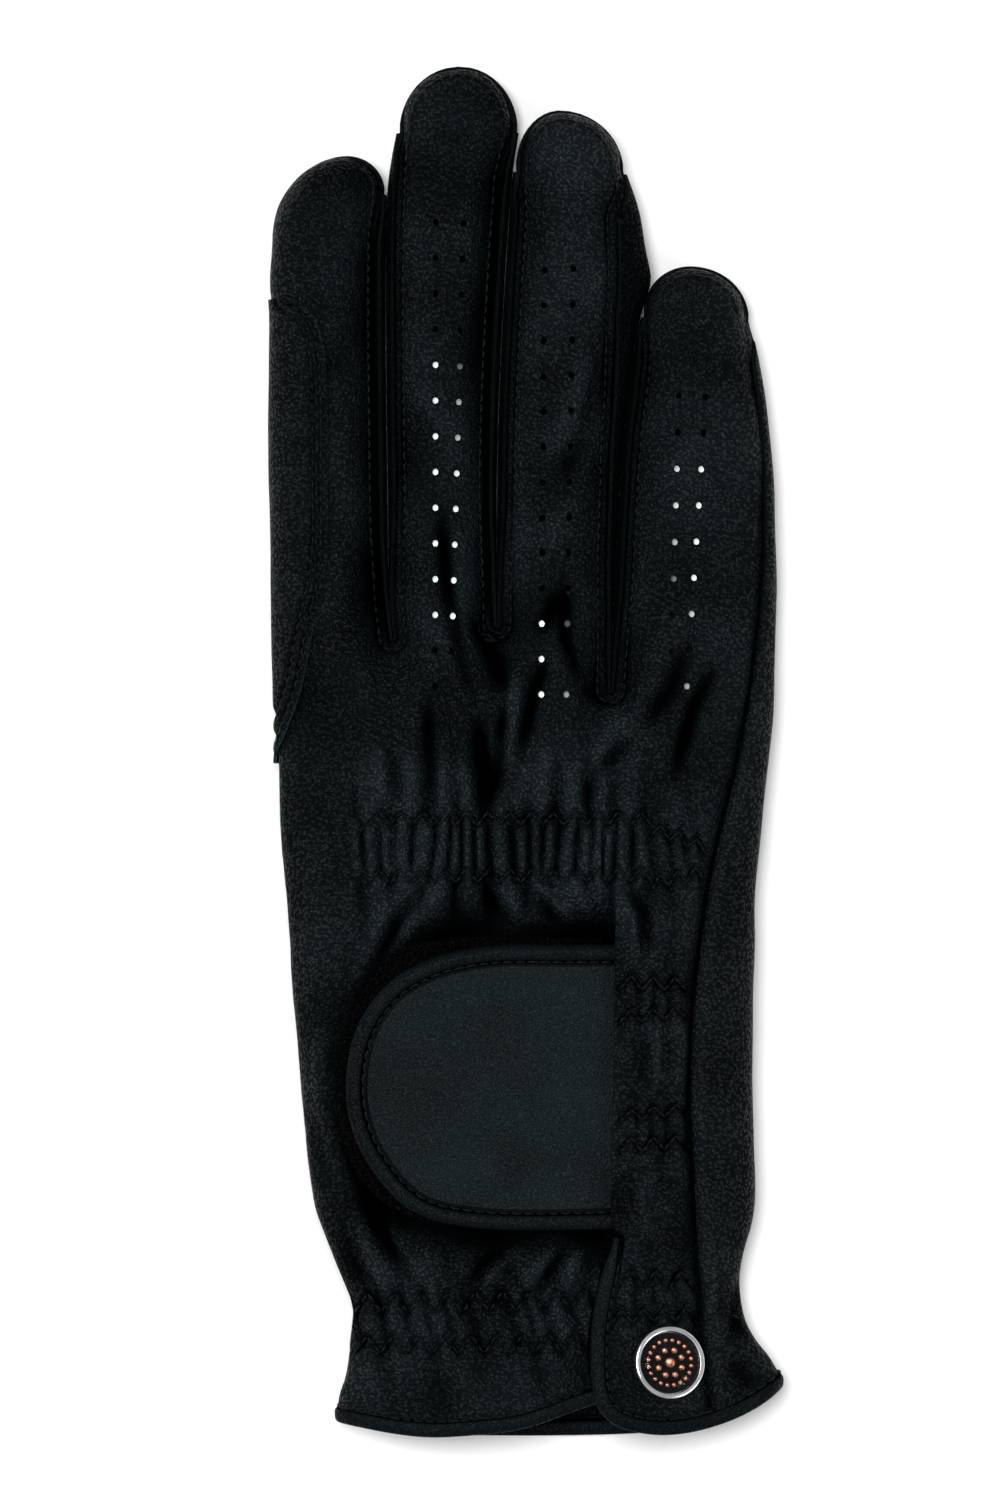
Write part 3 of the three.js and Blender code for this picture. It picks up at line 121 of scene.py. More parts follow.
# middle lines of the three gaps between the fingers, the third becomes the vent: y, x
gapLines = [
    lineOf([
        (-49.0, -20.5), (-20.0, -23.5), (0.0, -25.0), (8.1, -25.6), (11.0, -26.3), (18.3, -26.6),
        (32.8, -27.0), (40.8, -26.7), (43.0, -26.0), (45.2, -24.9),
    ]),
    lineOf([
        (-49.0, -4.5), (0.0, -5.3), (9.0, -5.5), (18.3, -5.5), (25.5, -5.1), (31.4, -4.4),
        (36.5, -3.6), (42.3, -2.4), (45.2, -1.2),
    ]),
    lineOf([
        (-47.6, 14.2), (-45.1, 12.5), (-42.1, 12.5), (-38.5, 14.4), (-34.7, 15.8), (-13.8, 16.7),
        (-7.2, 16.7), (4.3, 16.4), (11.0, 17.1), (16.8, 17.9), (21.9, 18.7), (25.5, 19.8),
        (29.2, 21.0), (31.7, 22.3), (34.3, 24.3), (36.5, 23.3), (39.4, 22.0), (42.3, 19.4),
    ]),
]
# seam where the palm leather comes up onto the back: y, x
sideSeam = lineOf([
    (-48.0, 35.6), (-42.1, 33.8), (-36.3, 32.8), (-29.0, 31.8), (-23.9, 31.4), (-18.1, 32.2),
    (-9.4, 35.3), (0.8, 41.5), (9.5, 44.8), (15.4, 45.7), (19.7, 45.7), (25.5, 44.8), (30.6, 42.5),
])
ringInset = curveThrough(
    lengthAt([4.3, 18.3, 25.5, 29.2, 31.7, 34.3, 36.5, 39.4, 41.6, 44]),
    [0.8, 1.2, 1.9, 2.6, 3.7, 5.2, 4.4, 3.5, 2.8, 1.2],
)
# lines of the crotches and of the two hems: x, y
crotchLine = hemOf([(-50, 8.1), (-25.4, 8.1), (-5.5, 9.0), (16.3, 4.3), (47, 6.3)])
backHem = hemOf([
    (-36.8, -48.9), (-20.4, -49.8), (-8.8, -49.6), (0.9, -49.1), (10.5, -47.6), (14.4, -47.5),
    (19.2, -49.1), (26, -49.6), (33.8, -49.3), (41.5, -48.3), (50, -46.5),
])
palmHem = hemOf([
    (-36.8, -48.9), (-20.4, -49.9), (16.3, -50), (33.8, -49.4), (41.5, -48.3), (50, -46.5),
])
crownHeight = curveThrough(
    lengthAt([-50, -45, -41.4, -38.2, -32, -18, -7, 3, 9, 20]),
    np.array([82, 78, 74, 80, 92, 100, 94, 94, 86, 80]) / 100 * glove["height"],
)
edgeHeight = curveThrough(
    lengthAt([-50, -42, -30, 0, 10, 20]),
    np.array([34, 34, 38, 38, 34, 32]) / 100 * glove["height"],
)
# fingers: tip x, tip y, then where the round of the tip starts on the left and on the right
fingers = [
    (-34.3, 43.4, -48.8, 37.2, -26.9, 40.8),
    (-12.7, 50.0, -24.7, 45.2, -1.5, 45.2),
    (6.7, 46.7, -2.3, 42.3, 19.2, 42.3),
    (31.8, 35.4, 22.5, 31.7, 43.2, 31.4),
]


def leftOutline(finger, y):
    held = np.minimum(y, lengthAt(fingers[finger][3]))
    if finger == 0:
        return indexSide(held)
    return gapLines[finger - 1](held) + glove["slit"] / 2


def rightOutline(finger, y):
    held = np.minimum(y, lengthAt(fingers[finger][5]))
    if finger == 3:
        return littleSide(held)
    return gapLines[finger](held) - glove["slit"] / 2


def tipLine(finger, share):
    tipX, tipY, leftX, leftY, rightX, rightY = fingers[finger]
    x = mix(leftX, rightX, (share + 1) / 2)
    endX = np.where(x < tipX, leftX, rightX)
    endY = np.where(x < tipX, leftY, rightY)
    out = np.minimum(np.abs((x - tipX) / (endX - tipX)), 1)
    return lengthAt(mix(endY, tipY, np.sqrt(1 - out * out)))


def ringRise(share):
    side = np.minimum(np.abs(share), 1) ** glove["squareness"]
    return (1 - side) ** (1 / glove["squareness"])


def ringAcross(angle):
    return np.sign(np.cos(angle)) * np.abs(np.cos(angle)) ** (2 / glove["squareness"])


def ringUp(angle):
    return np.sign(np.sin(angle)) * np.abs(np.sin(angle)) ** (2 / glove["squareness"])


def angleAt(share):
    held = np.clip(share, -1, 1)
    return np.arccos(np.sign(held) * np.abs(held) ** (glove["squareness"] / 2))


# main folds of the back: start, bend and end as x, y, then height and half width in mm
folds = [
    (-18.5, 14.3, -14.2, 7.4, -8.8, -3.6, -1.8, 2.2),
    (-11.7, 11.0, -4.9, 4.4, -7.8, -4.3, -1.4, 2.0),
    (-1.1, 8.1, -4.0, 2.3, -6.9, -3.6, 1.0, 1.8),
    (3.4, 7.6, -0.6, 3.4, -5.9, -2.8, -1.2, 1.8),
    (9.2, 13.2, 9.2, 8.1, 14.4, 3.7, -0.9, 1.7),
    (37.6, 9.5, 29.9, 4.4, 14.4, -3.6, -1.5, 2.8),
    (42.5, 8.1, 36.7, 4.4, 29.9, -2.8, -1.0, 2.2),
    (-22.3, -9.4, -29.7, -13.8, -36.4, -21.0, -1.7, 3.0),
    (-36.8, -24.0, -34.0, -31.2, -26.2, -37.0, -1.7, 3.0),
    (-13.6, -9.4, -18.5, -12.0, -24.3, -15.2, 0.8, 2.0),
    (7.6, -8.7, 10.5, -10.8, 13.4, -13.0, 0.7, 1.6),
    (24.1, -10.1, 27.0, -13.0, 27.6, -15.2, 0.8, 1.8),
    (6.7, -35.2, 2.8, -37.4, -1.1, -40.0, 0.8, 1.8),
    (12.5, -35.6, 9.6, -37.4, 6.7, -39.2, 0.7, 1.6),
    (25.0, -30.5, 25.4, -32.8, 25.0, -34.9, -1.0, 1.7),
    (12.5, 32.8, 6.7, 29.2, 0.9, 25.5, -0.5, 2.4),
]
# finer creases in the leather, in the same columns
creases = [
    (-16.5, 18.4, -15.2, 11.5, -9.8, 3.0, -1.0, 0.9),
    (-9.8, 3.0, -8.2, -1.2, -6.8, -4.8, -1.1, 1.0),
    (-11.5, 10.5, -6.0, 6.8, -4.4, 3.9, -0.9, 0.9),
    (-4.4, 3.9, -4.6, 0.0, -6.4, -3.9, -1.0, 0.9),
    (-1.6, 6.2, -2.4, 2.0, -5.0, -2.2, 0.9, 1.1),
    (3.8, 7.0, 0.8, 3.6, -2.0, -1.0, -1.0, 0.8),
    (1.4, 8.6, 4.4, 9.6, 6.6, 12.0, -0.6, 1.0),
    (7.6, 13.0, 8.0, 8.2, 11.0, 5.0, -0.8, 0.8),
    (11.0, 5.0, 13.6, 4.2, 16.6, 3.4, -0.5, 1.0),
    (32.2, 8.6, 28.4, 4.6, 21.6, 1.2, -0.8, 1.1),
    (21.6, 1.2, 13.6, -1.4, 11.0, -4.2, -0.9, 1.0),
    (17.6, 3.0, 14.6, -0.4, 11.8, -3.6, 0.6, 1.3),
    (37.6, 7.0, 32.4, 3.2, 27.8, -3.0, -0.9, 1.0),
    (-28.6, 0.4, -27.6, -2.0, -26.4, -4.8, 0.6, 0.9),
    (-26.4, 0.8, -25.0, -2.0, -24.0, -4.6, -0.6, 0.9),
    (-22.8, 0.2, -22.0, -2.4, -21.6, -4.8, 0.7, 0.9),
    (-19.0, 4.8, -18.6, -0.2, -17.6, -4.8, -0.9, 1.0),
    (-16.4, -0.8, -16.0, -2.8, -15.8, -5.0, 0.8, 0.8),
    (-12.6, -0.2, -12.0, -2.6, -11.8, -5.0, 0.6, 0.8),
    (0.2, -0.6, -1.0, -2.8, -1.2, -5.0, 0.6, 0.8),
    (4.6, 1.0, 3.4, -2.0, 3.6, -4.8, 0.6, 0.9),
    (9.0, -1.0, 8.6, -3.0, 8.2, -5.0, 0.7, 0.9),
    (-16.0, -9.2, -22.6, -12.6, -28.6, -17.2, 0.8, 1.2),
    (-18.6, -9.2, -25.4, -12.8, -30.6, -17.4, -0.9, 1.1),
    (-20.6, -9.2, -27.8, -12.2, -34.0, -18.4, 0.6, 1.2),
    (-5.8, -9.2, -1.6, -11.8, 4.6, -13.6, 0.6, 0.8),
    (-8.4, -9.4, -4.8, -11.8, 0.4, -13.4, -0.5, 0.8),
    (1.8, -9.2, 6.6, -11.4, 12.0, -13.6, 0.8, 0.7),
    (0.2, -9.4, 4.4, -11.8, 9.4, -13.6, -0.7, 0.8),
    (10.6, -9.2, 11.6, -11.2, 12.6, -12.8, 0.6, 0.8),
    (16.6, -9.4, 19.6, -12.0, 20.2, -15.4, 0.9, 1.2),
    (18.8, -9.4, 22.4, -11.6, 23.2, -15.2, -1.0, 1.1),
    (22.8, -19.8, 23.0, -22.2, 22.8, -24.8, -0.5, 1.1),
    (26.8, -20.0, 27.2, -21.8, 26.6, -23.6, -0.4, 1.0),
    (25.0, -19.6, 25.2, -22.0, 25.0, -25.0, 0.5, 0.8),
    (23.6, -30.0, 25.4, -32.6, 26.8, -35.2, 0.35, 1.1),
    (21.4, -30.4, 22.6, -33.0, 24.6, -35.8, 0.5, 1.0),
    (-38.8, -19.0, -38.4, -25.6, -34.0, -33.2, 0.8, 1.4),
    (-34.0, -33.2, -29.4, -37.0, -25.6, -39.6, 0.8, 1.2),
    (-31.8, -29.8, -28.4, -34.6, -22.0, -38.6, -0.8, 1.2),
    (-27.6, -33.6, -23.6, -36.4, -19.0, -38.8, 0.6, 1.1),
    (7.4, -34.8, 2.8, -37.2, -1.0, -39.2, 0.9, 0.8),
    (9.4, -34.8, 5.2, -37.6, 2.2, -39.6, -0.8, 0.8),
    (12.2, -35.0, 9.0, -37.4, 6.4, -39.8, 0.9, 0.8),
    (1.4, -35.2, -5.0, -37.2, -8.4, -39.4, 0.7, 0.9),
    (-1.4, -35.6, -8.6, -37.4, -12.0, -39.6, -0.7, 1.0),
    (12.8, 20.4, 7.4, 16.8, 2.0, 13.8, 0.35, 1.4),
    (12.6, 30.6, 9.0, 24.8, 2.6, 20.6, 0.45, 1.6),
    (14.4, 27.6, 10.6, 22.4, 5.4, 19.0, -0.4, 1.3),
    (-21.6, 27.0, -17.6, 24.8, -12.0, 22.0, 0.3, 1.5),
    (-7.6, 21.6, -11.2, 15.4, -10.8, 9.6, 0.4, 1.4),
    (-8.8, 45.2, -13.2, 44.6, -19.0, 45.2, -0.3, 0.8),
    (-46.4, 28.6, -41.0, 30.4, -34.4, 31.4, 0.3, 1.5),
    (-44.0, 25.6, -38.8, 27.6, -33.0, 28.6, -0.3, 1.4),
    (26.0, 18.6, 31.0, 21.6, 37.0, 23.6, 0.3, 1.6),
    (41.6, -37.8, 40.2, -40.8, 42.6, -43.6, -0.7, 1.4),
    (38.4, -44.6, 41.6, -45.0, 45.0, -46.8, -0.6, 1.4),
]
# elastic gathers: x, y, reach along x and y, pitch and height in mm, and lean
gathers = [
    (-5.0, -7.1, 28.5, 2.1, 2.8, 1.8, 0.0),
    (22.0, -7.1, 12.5, 2.1, 3.1, 0.75, 0.1),
    (-10.0, -41.2, 25.0, 2.6, 4.2, 0.85, 0.35),
    (27.0, -39.6, 14.0, 2.0, 3.8, 0.6, 0.0),
    (23.5, -18.0, 7.5, 1.9, 3.2, 0.6, 0.0),
    (23.5, -27.1, 7.5, 1.9, 3.2, 0.6, 0.0),
]


creaseGain = 1.15
foldGain = 1.4
foldWidth = 1.35
foldLimit = 2.0
creaseLimit = 1.4


def foldShape(x, y, rows):
    # height of a set of folds at x, y: each is a soft bump along its own bent line
    total = np.zeros(np.broadcast(x, y).shape)
    for x0, y0, x1, y1, x2, y2, rise, wide in rows:
        px = widthAt([x0, x1, x2])
        py = lengthAt([y0, y1, y2])
        best = np.full(total.shape, 1e9)
        at = np.zeros(total.shape)
        for i in range(2):
            dx = px[i + 1] - px[i]
            dy = py[i + 1] - py[i]
            held = np.clip(((x - px[i]) * dx + (y - py[i]) * dy) / (dx * dx + dy * dy), 0, 1)
            away = np.hypot(x - px[i] - dx * held, y - py[i] - dy * held)
            at = np.where(away < best, (i + held) / 2, at)
            best = np.minimum(away, best)
        fade = easeIn(np.minimum(at, 1 - at) * 3 + 0.08)
        total += rise * fade * np.exp(-((best / wide / foldWidth) ** 2))
    return total


def padShare(x, y):
    # one under the pile pad and the tab, where the back lies smooth
    aside = np.minimum(0, x - widthAt(-8)) / widthAt(28.5)
    above = (y - lengthAt(-24.2)) / lengthAt(11.2)
    onLeft = easeIn((gapLines[2](y) + 5 - x) / 3)
    return easeIn((1.16 - np.hypot(aside, above)) / 0.13) * onLeft


def foldRelief(x, y):
    total = foldGain * foldShape(x, y, folds) * (1 - padShare(x, y))
    return foldLimit * np.tanh(total / foldLimit)


crotch = {"dip": 4.8, "lift": 2.4, "wide": 4.5, "long": 9.0, "levels": (8.1, 9.0, 4.3)}


def crotchShare(x, y):
    share = 0
    for line, level in zip(gapLines, crotch["levels"]):
        aside = (x - line(y)) / crotch["wide"]
        below = np.maximum(0, lengthAt(level) - y) / crotch["long"]
        share = share + np.exp(-aside * aside - below * below)
    return share


def ventStep(x, y, onFlap):
    reach = easeIn((lengthAt(-8) - y) / lengthAt(5.6))
    spread = np.exp(-(((x - gapLines[2](y)) / 13) ** 2))
    return reach * spread * (glove["flapRise"] if onFlap else -glove["ventDrop"])


def sideGroove(x, y):
    return -0.8 * np.exp(-(((x - sideSeam(y)) / 1.3) ** 2))


def handSpan(y):
    left = indexSide(y)
    right = littleSide(y)
    return (left + right) / 2, (right - left) / 2


def plainTop(x, y):
    middle, half = handSpan(y)
    low = edgeHeight(y)
    return low + (crownHeight(y) - low) * ringRise((x - middle) / half)


def handTop(x, y, onFlap):
    relief = foldRelief(x, y) + ventStep(x, y, onFlap) + sideGroove(x, y)
    return plainTop(x, y) + relief - crotch["dip"] * crotchShare(x, y)


thumbShape = {"x": -14.0, "half": 13.2, "top": 8.5, "start": -66.0, "end": 11.5, "slope": 9.0}


def thumbRise(x, y):
    aside = np.maximum(0, np.abs(x - thumbShape["x"]) - thumbShape["half"] - 1)
    beyond = np.maximum(0, np.maximum(thumbShape["start"] - 1 - y, y - thumbShape["end"] - 1))
    return thumbShape["top"] * (1 - easeIn(np.hypot(aside, beyond) / thumbShape["slope"]))


fingerMiddle = 0.42 * glove["fingerHeight"]
fingerEdge = 0.3
tipShare = 0.992
blendEnd = 0.3


def place(x, y, z):
    return np.stack(np.broadcast_arrays(x, y, z), axis=-1)


def tipRise(away):
    left = np.clip(np.maximum(0, away) / glove["tipRound"], 0, 1)
    return np.sqrt(1 - (1 - left) ** 2)


def fingerPoint(finger, share, rise, y, tipY):
    x = mix(leftOutline(finger, y), rightOutline(finger, y), (share + 1) / 2)
    tip = tipRise(tipY - y)
    groove = sideGroove(x, y) * 0.8 if finger == 3 else 0
    top = (glove["fingerHeight"] - fingerMiddle) * rise * tip + foldRelief(x, y) * rise * tip
    low = fingerMiddle - fingerEdge + (fingerMiddle + 0.5) * rise * tip
    return place(x, y, np.where(rise >= 0, fingerMiddle + fingerEdge + top + groove, np.maximum(low, 0)))


def sideTaper(finger, side, y):
    return easeIn((lengthAt(fingers[finger][3 if side < 0 else 5]) - y) / 9)


def seamShare(finger, side, y):
    half = (rightOutline(finger, y) - leftOutline(finger, y)) / 2
    if side > 0 and finger == 3:
        return (sideSeam(y) - leftOutline(3, y)) / half - 1
    inset = ringInset(y) if side > 0 and finger == 2 else glove["seamInset"]
    return side * (1 - inset / half)


def palmShare(finger, side, y):
    half = (rightOutline(finger, y) - leftOutline(finger, y)) / 2
    return side * (1 - glove["seamInset"] / half)


def drawnIn(finger, side, y, share):
    angle = mix(angleAt(tipShare), angleAt(np.abs(share)), sideTaper(finger, side, y))
    return side * ringAcross(angle)


def flapBinding(y):
    return 2.7 * easeIn((lengthAt(-34.3) - y) / 2)


def backHandPoint(block, across, y):
    if block == 0:
        middle, half = handSpan(y)
        inner = (gapLines[0](y) - glove["slit"] / 2 - middle) / half
        angle = mix(np.pi, angleAt(inner), across)
        x = middle + half * ringAcross(angle)
        low = edgeHeight(y)
        relief = (handTop(x, y, False) - plainTop(x, y)) * easeIn(across * 3)
        upper = low + (crownHeight(y) - low) * ringUp(angle) + relief
        return place(x, y, np.where(across < 0, low + (low + 0.6) * ringUp(angle), upper))
    left = gapLines[block - 1](y) + glove["slit"] / 2 + (flapBinding(y) if block == 3 else 0)
    right = sideSeam(y) - glove["groove"] if block == 3 else gapLines[block](y) - glove["slit"] / 2
    x = mix(left, right, across)
    return place(x, y, handTop(x, y, block == 3))


def backFingerShare(block, across, y):
    if block == 0:
        angle = mix(np.pi, angleAt(drawnIn(0, 1, y, seamShare(0, 1, y))), across)
        return ringAcross(angle), ringUp(angle)
    left = drawnIn(block, -1, y, seamShare(block, -1, y))
    share = mix(left, drawnIn(block, 1, y, seamShare(block, 1, y)), across)
    return share, ringRise(share)


def backTipY(block, across):
    top = np.full(np.shape(across), glove["length"] / 2)
    return tipLine(block, backFingerShare(block, across, top)[0])


def crotchY(block, across):
    y = np.full(np.shape(across), float(lengthAt(8)))
    return crotchLine(backHandPoint(block, np.maximum(across, 0), y)[..., 0])


# the right flanks of the index and middle fingers roll down beside the next finger
flank = {"drop": (3.4, 3.0, 1.2, 0.0), "start": (0.58, 0.62, 0.7, 0.7)}


def flankDrop(block, across, along):
    share = easeIn((across - flank["start"][block]) / (1 - flank["start"][block]))
    window = easeIn((along + 0.02) / 0.12) * easeIn((0.97 - along) / 0.2)
    return flank["drop"][block] * share * window


def backAtLevel(block, across, y):
    tipY = backTipY(block, across)
    start = crotchY(block, across)
    along = (y - start) / (tipY - start)
    share, rise = backFingerShare(block, across, y)
    onFinger = fingerPoint(block, share, rise, y, tipY)
    point = mix(backHandPoint(block, across, y), onFinger, easeIn(along / blendEnd)[..., None])
    point[..., 2] -= flankDrop(block, across, along)
    return point


def handLevel(down, x, hemLine, binding):
    # rows of the hand from the crotches, down 0, to the edge of the hem, down 1
    y = mix(lengthAt(7), lengthAt(-47), down)
    toCrotch = easeIn((y - lengthAt(-3)) / lengthAt(10)) * (crotchLine(x) - lengthAt(7))
    toHem = easeIn((lengthAt(-42) - y) / lengthAt(5)) * (hemLine(x) + binding - lengthAt(-47))
    return y + toCrotch + toHem


bindingEdge = 2.6


def backPoint(block, across, along):
    down = np.maximum(-along, 0)
    y = handLevel(down, 0.0, backHem, bindingEdge)
    for _ in range(2):
        x = backHandPoint(block, np.maximum(across, 0), y)[..., 0]
        y = handLevel(down, x, backHem, bindingEdge)
    up = np.maximum(along, 0)
    onFinger = mix(crotchY(block, across), backTipY(block, across), up)
    return backAtLevel(block, across, np.where(along <= 0, y, onFinger))


palmStart = glove["edgeWrap"] / 2 + 0.08


def palmAngles(block, backEdge, left, right):
    if block == 0:
        start = palmStart * (np.pi - angleAt(backEdge)) - np.pi
    else:
        start = -angleAt(left)
    return start, (angleAt(right) if block == 3 else -angleAt(right))


def palmHandPoint(block, across, y):
    middle, half = handSpan(y)
    slit = glove["slit"] / 2
    left = (gapLines[block - 1](y) + slit - middle) / half if block > 0 else -1
    rightX = sideSeam(y) + glove["groove"] if block == 3 else gapLines[block](y) - slit
    backEdge = (gapLines[0](y) - slit - middle) / half
    start, end = palmAngles(block, backEdge, left, (rightX - middle) / half)
    angle = mix(start, end, across)
    x = middle + half * ringAcross(angle)
    low = edgeHeight(y)
    relief = (handTop(x, y, True) - plainTop(x, y)) * easeIn(angle * 3)
    upper = low + (crownHeight(y) - low) * ringUp(angle) + relief
    floor = np.maximum(np.maximum(low + (low + 0.6) * ringUp(angle), thumbRise(x, y)), 0)
    lower = floor + crotch["lift"] * crotchShare(x, y) * easeIn(-angle * 3)
    return place(x, y, np.where(angle > 0, upper, lower))


def palmFingerAngle(block, across, y):
    backEdge = drawnIn(0, 1, y, seamShare(0, 1, y))
    left = drawnIn(block, -1, y, palmShare(block, -1, y))
    half = (rightOutline(3, y) - leftOutline(3, y)) / 2
    seam = seamShare(3, 1, y) + 2 * glove["groove"] / half
    right = drawnIn(block, 1, y, seam if block == 3 else palmShare(block, 1, y))
    start, end = palmAngles(block, backEdge, left, right)
    dropped = mix(-2 * angleAt(tipShare), 0, sideTaper(3, 1, y)) if block == 3 else 0
    return mix(start, end + dropped, across)


def palmTipY(block, across):
    top = np.full(np.shape(across), glove["length"] / 2)
    return tipLine(block, ringAcross(palmFingerAngle(block, across, top)))


def palmPoint(block, across, along):
    down = np.maximum(-along, 0)
    y = handLevel(down, 0.0, palmHem, bindingEdge)
    for _ in range(2):
        x = palmHandPoint(block, across, y)[..., 0]
        y = handLevel(down, x, palmHem, bindingEdge)
    root = palmHandPoint(block, across, np.full(np.shape(along), float(lengthAt(8))))[..., 0]
    tipY = palmTipY(block, across)
    up = np.maximum(along, 0)
    y = np.where(along <= 0, y, mix(crotchLine(root), tipY, up))
    angle = palmFingerAngle(block, across, y)
    onFinger = fingerPoint(block, ringAcross(angle), ringUp(angle), y, tipY)
    return mix(palmHandPoint(block, across, y), onFinger, easeIn(up / blendEnd)[..., None])


def normalsOf(surface, block, across, along, facing):
    # unit normals of a surface by small steps towards its inside
    stepU = np.where(across > 0.5, -0.01, 0.01)
    stepV = np.where((along > 0.5) | ((along <= 0) & (along > -0.5)), -0.004, 0.004)
    here = surface(block, across, along)
    sideways = surface(block, across + stepU, along) - here
    upwards = surface(block, across, along + stepV) - here
    normal = np.cross(sideways, upwards)
    normal /= np.maximum(np.linalg.norm(normal, axis=-1, keepdims=True), 1e-9)
    return normal * (np.sign(stepU * stepV) * facing)[..., None]


def slitNormal(side, along, facing):
    out = np.array([side, 1.0 if along == 0 else 0.0, 0.0])
    out /= np.linalg.norm(out)
    leaning = out + np.array([0, 0, facing * (0.2 if along > 0.96 else 1.0)])
    return leaning / np.linalg.norm(leaning)


# Materials. Colours are sRGB hex values.
def linear(hexColour):
    shares = [int(hexColour[i:i + 2], 16) / 255 for i in (1, 3, 5)]
    return [s / 12.92 if s <= 0.04045 else ((s + 0.055) / 1.055) ** 2.4 for s in shares] + [1.0]


def addNode(tree, kind, settings=(), inputs=()):
    # adds a node: settings are its properties, inputs are values or links by socket name
    node = tree.nodes.new(kind)
    for key, value in dict(settings).items():
        setattr(node, key, value)
    for key, value in dict(inputs).items():
        socket = node.inputs[key]
        if isinstance(value, bpy.types.NodeSocket):
            tree.links.new(value, socket)
        else:
            socket.default_value = value
    return node


def newMaterial(name):
    material = bpy.data.materials.new(name)
    material.use_nodes = True
    material.node_tree.nodes.clear()
    return material, material.node_tree


def finishMaterial(tree, shader):
    addNode(tree, "ShaderNodeOutputMaterial", inputs={"Surface": shader.outputs[0]})


def makeLeather(name, look):
    # chrome-tanned goat skin, drum dyed: a pebbled grain of half a millimetre with a low, soft
    # sheen that breaks on the folds; painted highlight lightens the ridges, painted shade darkens the
    # creases
    material, tree = newMaterial(name)
    where = addNode(tree, "ShaderNodeTexCoord").outputs["Object"]
    grainScale = 1000 / look["grainMm"]
    warp = addNode(tree, "ShaderNodeTexNoise", inputs={"Vector": where, "Scale": 420, "Detail": 2})
    bent = addNode(tree, "ShaderNodeVectorMath", {"operation": "SCALE"}, {
        0: warp.outputs["Color"], "Scale": 0.0006,
    })
    moved = addNode(tree, "ShaderNodeVectorMath", {"operation": "ADD"}, {
        0: where, 1: bent.outputs["Vector"],
    }).outputs["Vector"]
    pebbles = addNode(tree, "ShaderNodeTexVoronoi", {"feature": "SMOOTH_F1"}, {
        "Vector": moved, "Scale": grainScale, "Smoothness": 0.35, "Randomness": 0.9,
    }).outputs["Distance"]
    fine = addNode(tree, "ShaderNodeTexNoise", inputs={
        "Vector": where, "Scale": grainScale * 0.45, "Detail": 4, "Roughness": 0.6,
    }).outputs["Fac"]
    broad = addNode(tree, "ShaderNodeTexNoise", inputs={
        "Vector": where, "Scale": 60, "Detail": 3,
    }).outputs["Fac"]
    crease = addNode(tree, "ShaderNodeAttribute", {"attribute_name": "crease"}).outputs["Fac"]
    spans = [
        (broad, 0.35, 0.65, 0, 1),
        # painted highlight: the light colour on the raised ridges
        (crease, 0.0, 0.7, 0, look["ridgeHighlight"]),
        # painted shade: the deep colour in the creases
        (crease, -0.95, 0.02, look["shade"], 0),
        (crease, -0.7, 0.6, look["gloss"] * 0.05, look["gloss"] * 2.3),
        (pebbles, 0.2, 0.55, 1.4, 0.1),
        (fine, 0.3, 0.7, look["rough"] - 0.06, look["rough"] + 0.08),
    ]
    mottle, ridgeHighlight, shade, raised, speckle, rough = [
        addNode(tree, "ShaderNodeMapRange", inputs=enumerate(span)).outputs[0] for span in spans
    ]
    deep = look["dark"]
    for share, colour in ((mottle, look["colour"]), (ridgeHighlight, look["light"]), (shade, look["deep"])):
        deep = addNode(tree, "ShaderNodeMix", {"data_type": "RGBA"}, {
            0: share, 6: deep, 7: colour,
        }).outputs[2]
    shine = addNode(tree, "ShaderNodeMath", {"operation": "MULTIPLY"}, {0: raised, 1: speckle}).outputs[0]
    bump = addNode(tree, "ShaderNodeBump", inputs={
        "Strength": look["grain"], "Distance": 0.0005, "Height": pebbles,
    })
    bump.invert = True
    soft = addNode(tree, "ShaderNodeBump", inputs={
        "Strength": look["grain"] * 0.8, "Distance": 0.0006, "Height": fine,
        "Normal": bump.outputs["Normal"],
    })
    shader = addNode(tree, "ShaderNodeBsdfPrincipled", inputs={
        "Base Color": deep, "Roughness": rough, "IOR": 1.5, "Specular IOR Level": shine,
        "Normal": soft.outputs["Normal"],
    })
    finishMaterial(tree, shader)
    return material


# light is the colour of the painted highlight on ridges, deep the colour of the painted shade in creases
goatskin = makeLeather("goatskin leather", {
    "colour": linear("#080e10"), "dark": linear("#05090b"), "light": linear("#11191c"),
    "deep": linear("#000000"), "ridgeHighlight": 0.8, "shade": 1.0, "grainMm": 0.6, "grain": 0.8,
    "rough": 0.45, "gloss": 0.085,
})
palmSkin = makeLeather("palm goatskin leather", {
    "colour": linear("#080e10"), "dark": linear("#05090b"), "light": linear("#0e1518"),
    "deep": linear("#000000"), "ridgeHighlight": 0.8, "shade": 1.0, "grainMm": 0.6, "grain": 0.8,
    "rough": 0.45, "gloss": 0.085,
})
tabSkin = makeLeather("smooth split leather", {
    "colour": linear("#161e20"), "dark": linear("#111719"), "light": linear("#1a2224"),
    "deep": linear("#0c1011"), "ridgeHighlight": 0.5, "shade": 0.4, "grainMm": 0.4, "grain": 0.9,
    "rough": 0.5, "gloss": 0.12,
})
bindingSkin = makeLeather("binding leather", {
    "colour": linear("#0b1113"), "dark": linear("#080c0e"), "light": linear("#10171a"),
    "deep": linear("#000000"), "ridgeHighlight": 0.7, "shade": 1.0, "grainMm": 0.4, "grain": 0.25,
    "rough": 0.42, "gloss": 0.05,
})


